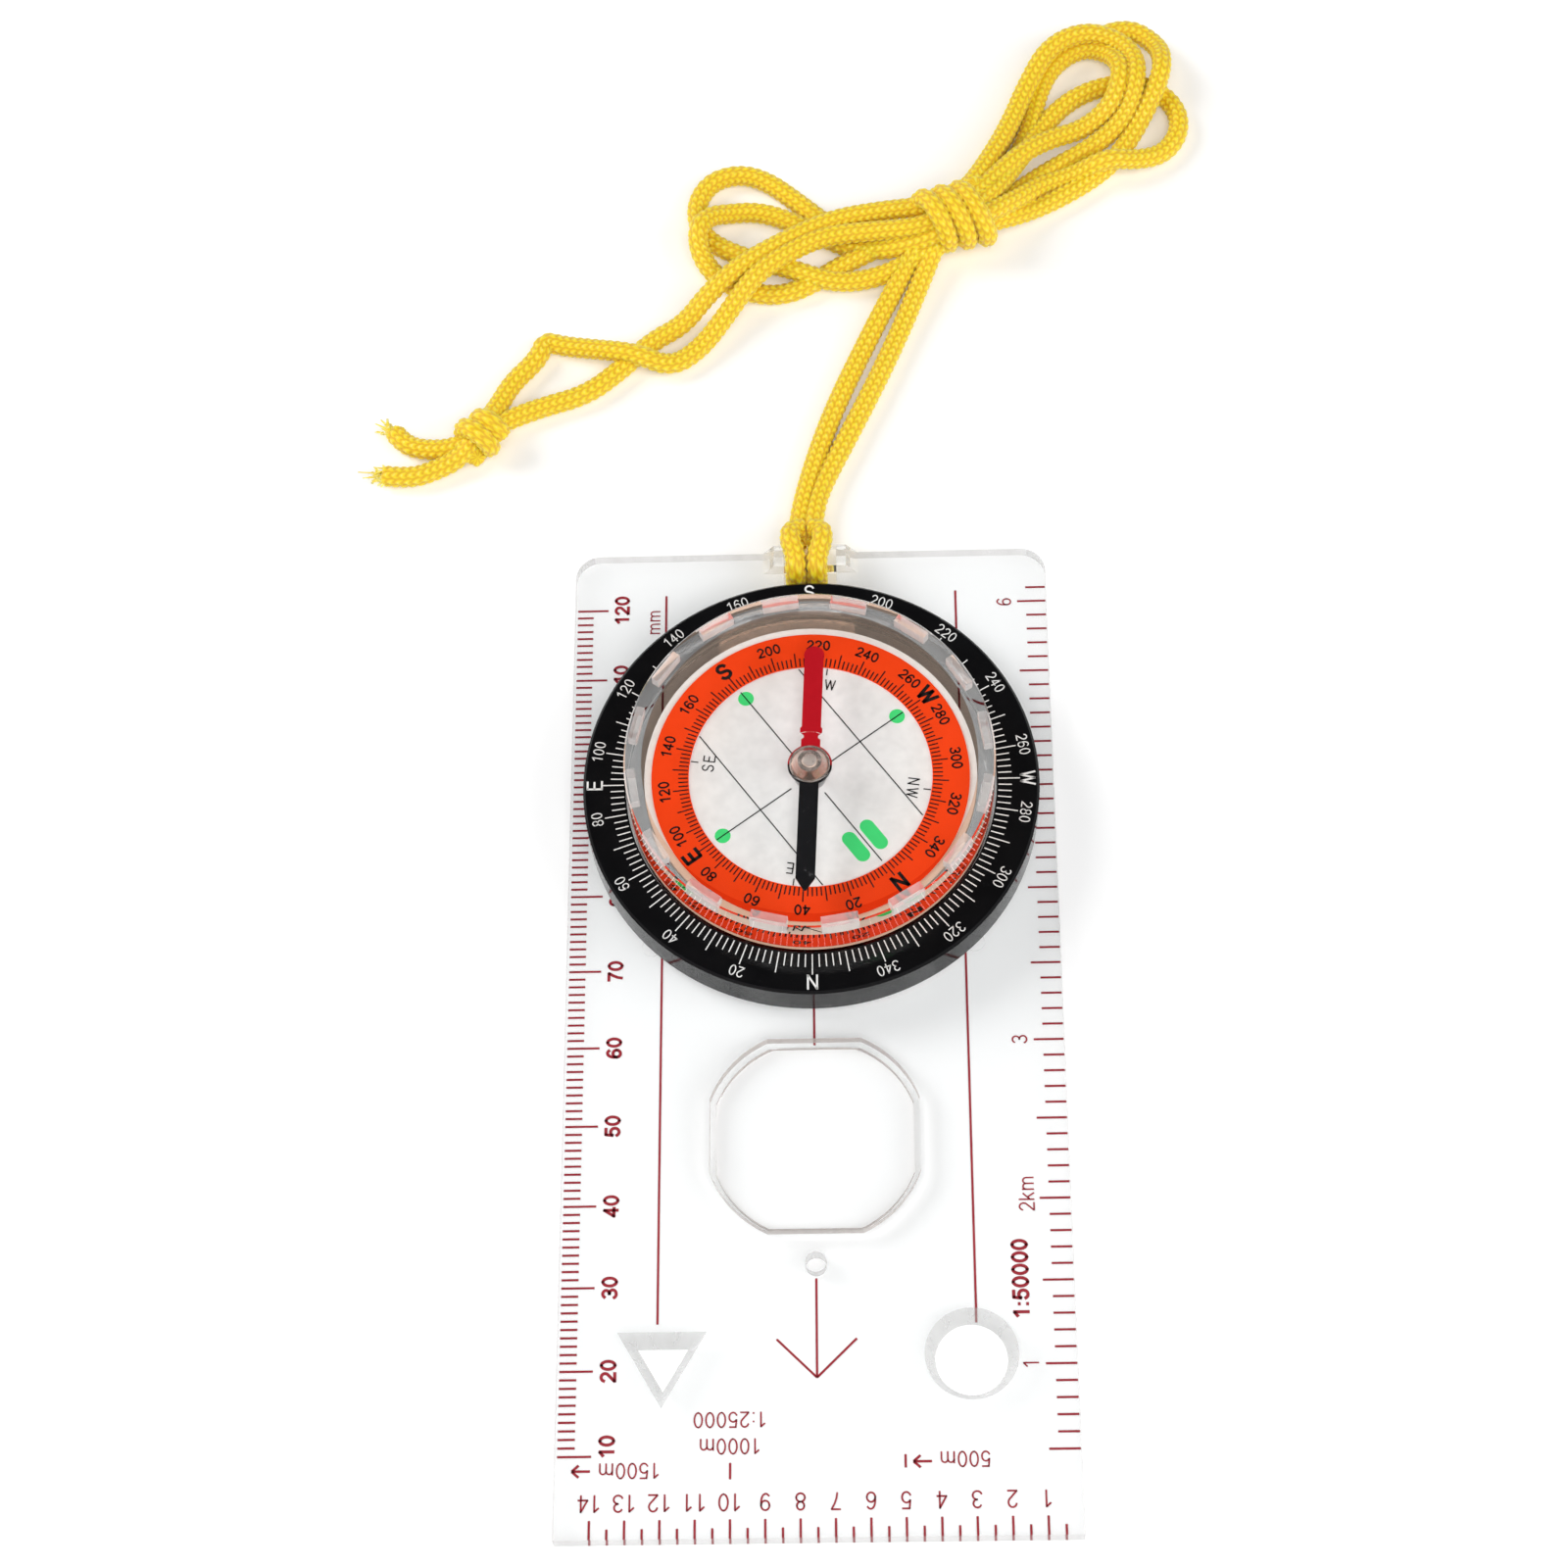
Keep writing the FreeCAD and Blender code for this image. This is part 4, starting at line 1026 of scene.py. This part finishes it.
@dataclass(frozen=True)
class Knit:
    """The knitted cord's surface: columns of V-shaped stitches. Lengths in metres."""

    radius: float = 1.3 * MM
    columns: int = 8
    around: int = 40
    pitch: float = 1.05 * MM
    step: float = 0.19 * MM
    relief: float = 0.3 * MM
    round_over: float = 0.5 * MM

    def stitches(self, run: Array, angle: Array, seed: int) -> Array:
        """How high the surface stands, from 0 in a crease to 1 on a crown.

        In each column the height is a cosine of the distance along the cord plus a share of
        the distance from the column's middle, which draws a V, times a hump across the column
        and a narrow groove down its middle. Every other column starts half a stitch later.
        """
        place = angle * self.columns / TAU
        column = np.floor(place)
        across = place - column - 0.5
        drift = np.random.default_rng(seed).normal(0.0, 1.0, 6)
        sway = sum(size * np.sin(run / self.pitch * (0.13 + 0.07 * k) + k) for k, size in enumerate(drift))
        along = run / self.pitch + 0.06 * sway + 0.5 * (column % 2)
        legs = 0.5 + 0.5 * np.cos(TAU * (along + 1.3 * np.abs(across)))
        hump = np.cos(np.pi * across) ** 0.6
        groove = 1.0 - 0.5 * np.exp(-((across / 0.1) ** 2))
        return legs * hump * groove

    def tube(self, name: str, line: Centreline, seed: int) -> bpy.types.Object:
        """A knitted tube along a centreline, closed at both ends.

        A point of the grid (run, angle) is the centreline's point plus the radius times
        (cosine x side + sine x up), where the radius takes in the stitches' height and rounds
        over at both ends as a quarter circle.
        """
        run = line.run[:, None]
        angle = np.linspace(0.0, TAU, self.around, endpoint=False)[None, :]
        relief = self.stitches(run, angle, seed)
        near_end = np.minimum(run, line.run[-1] - run) / self.round_over
        taper = np.sqrt(1.0 - (1.0 - np.clip(near_end, 0.03, 1.0)) ** 2)
        radius = (self.radius + self.relief * (relief - 0.45)) * taper
        spread = (np.cos(angle)[..., None] * line.side[:, None, :]
                  + np.sin(angle)[..., None] * line.up[:, None, :])
        grid = line.points[:, None, :] + radius[..., None] * spread
        rows, cols = relief.shape
        points = np.vstack([grid.reshape(-1, 3), line.points[:1], line.points[-1:]])
        index = np.arange(rows * cols).reshape(rows, cols)
        beside = np.roll(index, -1, axis=1)
        quads = np.stack([index[:-1], beside[:-1], beside[1:], index[1:]], axis=-1).reshape(-1, 4)
        first = np.full(cols, rows * cols)
        start = np.stack([beside[0], index[0], first], axis=-1)
        end = np.stack([index[-1], beside[-1], first + 1], axis=-1)
        lay = np.stack(np.broadcast_arrays(run / self.pitch, angle * self.columns / TAU), axis=-1)
        data = solid_mesh(name, points, quads, np.vstack([start, end]))
        corner = np.empty(len(data.loops), np.int32)
        data.loops.foreach_get("vertex_index", corner)
        flat = np.vstack([lay.reshape(-1, 2), lay[0, :1], lay[-1, :1]])
        data.uv_layers.new(name="lay").data.foreach_set("uv", flat[corner].astype(np.float32).ravel())
        # The relief also sets the yarn's painted crease shade and crown highlight.
        height = np.concatenate([relief.ravel(), [0.4, 0.4]]).astype(np.float32)
        data.attributes.new("relief", "FLOAT", "POINT").data.foreach_set("value", height)
        item = bpy.data.objects.new(name, data)
        bpy.context.scene.collection.objects.link(item)
        LOG.info("%s: %.0f mm, %d faces", name, line.run[-1] / MM, len(data.polygons))
        return item


def solid_mesh(name: str, points: Array, quads: Array, triangles: Array) -> bpy.types.Mesh:
    """A smooth mesh from arrays of points, four-cornered and three-cornered faces."""
    data = bpy.data.meshes.new(name)
    data.vertices.add(len(points))
    data.vertices.foreach_set("co", points.astype(np.float32).ravel())
    corners = np.concatenate([quads.ravel(), triangles.ravel()]).astype(np.int32)
    sizes = np.concatenate([np.full(len(quads), 4), np.full(len(triangles), 3)]).astype(np.int32)
    data.loops.add(len(corners))
    data.loops.foreach_set("vertex_index", corners)
    data.polygons.add(len(sizes))
    data.polygons.foreach_set("loop_start", np.concatenate([[0], np.cumsum(sizes)[:-1]]).astype(np.int32))
    data.polygons.foreach_set("use_smooth", np.ones(len(sizes), bool))
    data.update(calc_edges=True)
    data.validate()
    return data


HITCH_LEFT = (
    (-0.4, 66.0, 4.6), (-2.3, 65.9, 4.7), (-2.55, 63.6, 6.3), (-1.75, 61.2, 6.15), (-1.75, 59.05, 6.0),
    (-1.75, 59.05, 1.4), (-1.6, 61.4, 1.4), (-1.5, 65.0, 1.4),
)
HITCH_RIGHT = (
    (-0.4, 66.0, 4.6), (1.5, 65.9, 4.7), (1.75, 63.6, 6.3), (0.95, 61.2, 6.15), (0.95, 59.05, 6.0),
    (0.95, 59.05, 1.4), (0.7, 61.4, 1.4), (0.2, 64.6, 1.8),
)
CORD_LEFT = HITCH_LEFT + (
    (-1.4, 69.2, 1.4), (-0.2, 74.7, 1.4), (1.8, 81.5, 1.4), (4.1, 87.8, 1.4), (6.8, 94.0, 1.4),
    (9.3, 99.6, 1.5), (12.2, 105.4, 1.9), (15.0, 110.8, 3.2), (19.0, 115.2, 3.4), (22.1, 118.8, 2.2),
    (24.2, 124.0, 1.4), (27.3, 129.0, 1.4), (29.4, 134.8, 1.4), (32.6, 141.4, 1.4), (38.2, 144.4, 1.4),
    (44.6, 147.0, 1.6), (48.6, 143.6, 1.6), (49.0, 138.6, 4.3), (47.8, 134.6, 3.6), (44.6, 128.8, 1.6),
    (41.2, 123.6, 1.4), (35.6, 119.4, 1.4), (29.6, 116.0, 1.8), (24.4, 113.7, 3.2), (19.4, 111.2, 3.4),
    (14.8, 108.5, 2.6), (9.4, 106.2, 1.5), (3.6, 105.5, 1.5), (-2.4, 107.1, 3.0), (-7.4, 109.5, 1.6),
    (-11.4, 111.5, 1.4), (-14.3, 113.8, 1.4), (-15.3, 118.2, 1.4), (-13.4, 122.4, 1.4),
    (-9.4, 123.8, 1.4), (-5.6, 122.6, 1.4), (-1.4, 118.9, 1.4), (2.9, 114.8, 1.4), (8.0, 112.2, 1.5),
    (14.0, 111.9, 2.8), (20.5, 113.4, 3.4), (26.6, 117.7, 2.2), (32.4, 122.8, 1.5), (39.6, 127.1, 1.5),
    (43.8, 131.2, 2.6), (45.3, 136.2, 4.3), (45.2, 140.4, 3.4), (43.2, 143.8, 2.6), (38.6, 144.6, 4.0),
    (33.4, 142.2, 3.8), (30.2, 136.2, 3.0), (27.6, 129.4, 3.2), (24.6, 123.0, 4.2), (21.1, 116.5, 5.8),
    (16.1, 114.8, 5.6), (9.8, 115.1, 4.3), (3.4, 114.1, 4.1), (-3.0, 110.8, 4.2), (-8.9, 107.0, 4.3),
    (-13.2, 103.2, 3.4), (-16.6, 99.4, 1.6), (-20.8, 97.0, 1.5), (-25.0, 92.6, 1.4), (-29.4, 88.9, 1.4),
    (-35.0, 87.2, 1.4), (-39.2, 85.4, 1.6), (-43.0, 82.6, 2.6), (-46.4, 80.9, 1.7), (-50.4, 80.9, 1.4),
    (-53.4, 81.9, 1.4), (-54.8, 84.0, 1.4),
)
CORD_RIGHT = HITCH_RIGHT + (
    (0.4, 68.8, 1.8), (1.2, 73.4, 1.4), (4.8, 81.0, 1.4), (8.6, 89.2, 1.4), (12.4, 98.2, 1.4),
    (15.2, 105.5, 1.9), (17.3, 110.7, 3.2), (20.5, 114.5, 3.4), (24.4, 118.4, 2.4), (28.0, 124.2, 1.5),
    (30.6, 129.6, 1.5), (31.6, 135.4, 1.5), (34.0, 140.8, 1.5), (38.4, 143.6, 1.7), (42.4, 142.0, 1.8),
    (43.4, 137.6, 4.3), (41.8, 132.4, 3.2), (37.8, 129.6, 1.6), (33.2, 127.4, 2.8), (29.0, 124.0, 4.3),
    (24.4, 118.6, 5.2), (20.3, 114.8, 5.8), (14.6, 112.1, 4.2), (9.0, 110.6, 1.9), (3.9, 108.0, 1.5),
    (0.6, 105.6, 1.4), (-3.2, 103.9, 1.4), (-7.4, 104.2, 1.4), (-12.2, 106.7, 1.5), (-14.5, 110.0, 2.6),
    (-14.8, 113.2, 4.1), (-13.2, 115.9, 3.0), (-10.6, 117.2, 1.5), (-7.0, 117.5, 1.4),
    (-3.0, 116.2, 1.4), (1.8, 113.1, 1.5), (7.0, 110.4, 1.6), (14.0, 109.8, 3.6), (22.1, 112.4, 5.8),
    (27.2, 115.7, 4.6), (31.6, 120.2, 2.2), (36.2, 122.0, 1.6), (40.6, 123.1, 4.1), (44.6, 123.8, 2.4),
    (48.6, 125.4, 1.4), (51.0, 129.0, 1.4), (50.6, 133.2, 1.4), (47.6, 136.6, 1.4), (43.4, 137.4, 1.4),
    (39.0, 136.4, 1.4), (35.0, 133.8, 1.4), (31.8, 129.6, 1.5), (28.4, 123.2, 3.2), (24.7, 116.6, 5.2),
    (20.3, 113.4, 5.8), (14.8, 111.6, 5.2), (8.4, 111.9, 4.3), (2.0, 111.3, 4.2), (-3.2, 108.4, 4.3),
    (-7.2, 105.2, 4.2), (-10.6, 100.6, 2.6), (-14.2, 95.8, 1.5), (-18.2, 92.8, 1.5), (-23.0, 94.2, 3.2),
    (-28.6, 95.8, 1.8), (-32.6, 96.6, 1.4), (-35.1, 97.5, 1.4), (-36.0, 94.6, 1.4), (-39.4, 90.9, 1.4),
    (-41.1, 87.0, 1.7), (-43.0, 82.9, 3.4), (-45.6, 79.4, 1.9), (-48.9, 77.8, 1.4), (-52.4, 76.6, 1.4),
    (-56.0, 77.2, 1.4),
)


@dataclass(frozen=True)
class Winding:
    """A coil round a flat bundle: an ellipse across the bundle that walks along it.

    The centre is in metres, the heading in degrees and the rest in millimetres. The reach is half the
    width across the bundle and half the height. The pitch is how far the coil walks in a turn, the
    spread how far it starts before the middle, and the lean how far its first turn stands aside.
    """

    centre: Point
    heading: float
    turns: float
    reach: tuple[float, float]
    pitch: float
    spread: float
    lean: float = 0.0

    def path(self) -> Array:
        """Points along the coil, in metres."""
        turn = np.linspace(0.0, self.turns * TAU, 600)
        along = turn / TAU * self.pitch - self.spread
        late = turn / turn[-1]
        across = self.reach[0] * (0.82 + 0.18 * late) * np.cos(turn) + self.lean * (1.0 - 2.0 * late)
        lift = self.reach[1] * (1.0 + 0.12 * (1.0 - late)) * np.sin(turn)
        angle = np.radians(self.heading)
        ahead = np.array([np.cos(angle), np.sin(angle), 0.0])
        aside = np.array([-np.sin(angle), np.cos(angle), 0.0])
        path = along[:, None] * ahead + across[:, None] * aside + lift[:, None] * np.array([0.0, 0.0, 1.0])
        return np.asarray(self.centre) + path * MM


@dataclass
class Lanyard:
    """The doubled yellow cord: hitch, loops, wrap, tails, end knot and cut ends."""

    knit: Knit = field(default_factory=Knit)
    diameter: float = 2.7 * MM
    left_length: float = 0.42
    right_length: float = 0.42
    seed: int = 7
    wrap: Winding = Winding((20.7 * MM, 113.9 * MM, 4.7 * MM), 24.0, turns=3.1, reach=(3.8, 3.1),
                            pitch=2.5, spread=4.4, lean=0.8)
    knot: Winding = Winding((-42.9 * MM, 82.0 * MM, 3.1 * MM), 222.0, turns=1.9, reach=(2.1, 1.8),
                            pitch=2.2, spread=2.0)
    fibres: int = 34
    fibre_width: float = 0.3
    fibre_low: float = 0.35

    def build(self) -> None:
        yarn = KnitYarn("cord_yellow").material()
        wrap = self.wound("lanyard_wrap_coil", self.wrap.path(), yarn, "lanyard_wrap")
        knot = self.wound("lanyard_end_coil", self.knot.path(), yarn, "lanyard_end_knot")
        cut = self.frayed(yarn)
        left = self.cord("lanyard_cord_left", CORD_LEFT, yarn,
                         ("lanyard_stem_left", "lanyard_loops_left", "lanyard_tail_upper",
                          "lanyard_end_upper", "lanyard_hitch"))
        self.cord("lanyard_cord_right", CORD_RIGHT, yarn,
                  ("lanyard_stem_right", "lanyard_loops_right", "lanyard_tail_lower",
                   "lanyard_end_lower"))
        LOG.info("lanyard: %s carries the wrap", left.name)

    def cord(self, name: str, route: Sequence[Point],
             yarn: bpy.types.Material,
             replaced: Sequence[str]) -> bpy.types.Object:
        """One of the two cords, from the hitch to its cut end.

        Args:
            name: the piece's name.
            route: its control points in millimetres.
            yarn: its finish.
            replaced: the plain solids that it stands for.

        Returns:
            The cord.
        """
        places = [tuple(part * MM for part in place) for place in route]
        line = Centreline.spline(places, self.knit.step)
        item = self.knit.tube(name, line, self.seed + len(route))
        dress(item, yarn)
        settle(item, Body.PLATE, "cord_yellow", *replaced)
        return item

    def wound(self, name: str, path: Array, yarn: bpy.types.Material, replaced: str) -> bpy.types.Object:
        """A short stretch of cord along a path, standing for a plain solid."""
        item = self.knit.tube(name, Centreline.through(path, self.knit.step), self.seed)
        dress(item, yarn)
        return settle(item, Body.PLATE, "cord_yellow", replaced)

    def frayed(self, yarn: bpy.types.Material) -> bpy.types.Object:
        """Loose yarn ends at the two cuts: thin tapered fibres that fan out and curl."""
        rng = np.random.default_rng(self.seed)
        skin = Skin()
        around = np.linspace(0.0, TAU, 5, endpoint=False)
        travel = np.linspace(0.0, 1.0, 6)
        ends = ((CORD_LEFT[-1], CORD_LEFT[-2]), (CORD_RIGHT[-1], CORD_RIGHT[-2]))
        for tip, before in ends:
            ahead = np.subtract(tip, before)
            ahead /= np.linalg.norm(ahead)
            for _ in range(self.fibres):
                start = np.array(tip) - ahead * 0.6 + rng.normal(0.0, 0.5, 3) * (1.0, 1.0, 0.6)
                heading = ahead + rng.normal(0.0, 0.34, 3) * (1.0, 1.0, 0.5)
                curl = rng.normal(0.0, 0.7, 3)
                length = rng.uniform(0.8, 1.6)
                middle = (start + heading * (travel * length)[:, None]
                          + curl * (travel ** 2)[:, None] * 0.6)
                middle[:, 2] = np.maximum(middle[:, 2], self.fibre_low)
                width = self.fibre_width * (1.0 - 0.5 * travel)
                ring = np.stack([np.cos(around), np.zeros_like(around), np.sin(around)], axis=-1)
                grid = middle[:, None, :] + width[:, None, None] * ring
                index = np.arange(30).reshape(6, 5)
                beside = np.roll(index, -1, axis=1)
                quads = np.stack([index[:-1], beside[:-1], beside[1:], index[1:]], axis=-1)
                skin.add(grid.reshape(-1, 3) * MM,
                         [*quads.reshape(-1, 4).tolist(), index[0].tolist(), index[-1][::-1].tolist()])
        item = skin.mesh("lanyard_cut_yarn", smooth=True)
        # Random relief gives the fibres the yarn's body colour and, here and there, its painted crown
        # highlight.
        relief = item.data.attributes.new("relief", "FLOAT", "POINT")
        relief.data.foreach_set("value", rng.uniform(0.4, 1.1, len(item.data.vertices)))
        dress(item, yarn)
        return settle(item, Body.PLATE, "cord_yellow")


# ------------------------------------------------------------------ stage


@dataclass
class Stage:
    """A pale floor, soft lamps and the camera."""

    eye: Point = (0.009279, -0.15704, 0.38932)
    bearing: float = 0.0678
    height: float = 1.118
    roll: float = -0.0797
    lens: float = 79.48
    floor_size: float = 3.0
    room: float = 0.71
    glow: float = 0.16

    def build(self) -> None:
        """Makes the stage."""
        self.floor()
        self.lamps()
        self.camera()

    def floor(self) -> None:
        """A large pale sheet just under the plate."""
        skin = Skin()
        half = self.floor_size / 2
        skin.add(np.array([[-half, -half, 0], [half, -half, 0], [half, half, 0], [-half, half, 0]])
                 - np.array([0.0, 0.0, 0.00002]), [[0, 1, 2, 3]])
        item = skin.mesh("floor")
        graph = Graph.named("pale_floor")
        tone = graph.blend(graph.noise(graph.place(), 3.0), rgb(0.90, 0.90, 0.90), rgb(0.92, 0.92, 0.92))
        dress(item, graph.finish(graph.node("ShaderNodeBsdfPrincipled", None, Base_Color=tone,
                                            Roughness=0.8, Specular_IOR_Level=0.1,
                                            Emission_Color=tone, Emission_Strength=self.glow)))

    def lamps(self) -> None:
        """A room that is bright near the floor, and three large soft lamps."""
        world = bpy.data.worlds.new("room")
        graph = Graph(world)
        _, _, rise = graph.axes(graph.node("ShaderNodeTexCoord", out="Generated"))
        tone = graph.blend(rise.band(0.35, 0.75), rgb(1.0, 1.0, 1.0), rgb(0.03, 0.03, 0.032))
        light = graph.node("ShaderNodeBackground", None, tone, self.room)
        graph.add("ShaderNodeOutputWorld", None, light)
        bpy.context.scene.world = world
        for name, place, size, power in (("key", (-0.75, 0.35, 0.62), 0.5, 5.2),
                                         ("fill", (0.85, -0.25, 0.6), 0.6, 3.9),
                                         ("top", (0.1, -0.42, 0.95), 0.7, 6.0)):
            lamp = bpy.data.lights.new(name, "AREA")
            lamp.size = size
            lamp.energy = power
            item = bpy.data.objects.new(name, lamp)
            item.location = place
            item.rotation_euler = (-Vector(place)).to_track_quat("-Z", "Y").to_euler()
            bpy.context.scene.collection.objects.link(item)

    def camera(self) -> None:
        """A camera above the near edge, looking down across the plate."""
        cos_a, sin_a = np.cos(self.bearing), np.sin(self.bearing)
        cos_b, sin_b = np.cos(self.height), np.sin(self.height)
        back = np.array([sin_a * cos_b, -cos_a * cos_b, sin_b])
        level = np.array([cos_a, sin_a, 0.0])
        rise = np.cross(back, level)
        right = np.cos(self.roll) * level + np.sin(self.roll) * rise
        over = -np.sin(self.roll) * level + np.cos(self.roll) * rise
        data = bpy.data.cameras.new("camera")
        data.lens = self.lens
        data.sensor_width = 36.0
        data.clip_start = 0.01
        item = bpy.data.objects.new("camera", data)
        matrix = np.eye(4)
        matrix[:3, 0], matrix[:3, 1], matrix[:3, 2], matrix[:3, 3] = right, over, back, self.eye
        item.matrix_world = Matrix(matrix.tolist())
        bpy.context.scene.collection.objects.link(item)
        bpy.context.scene.camera = item


def main() -> None:
    """Builds the stage, then each sub-assembly."""
    logging.basicConfig(level=logging.INFO, format="%(name)s: %(message)s")
    bpy.context.scene.view_settings.view_transform = "Standard"
    for part in (Stage(), Lanyard(), Baseplate(), Bezel(), Capsule(), Needle()):
        LOG.info("building %s", type(part).__name__)
        part.build()


if __name__ == "__main__":
    main()
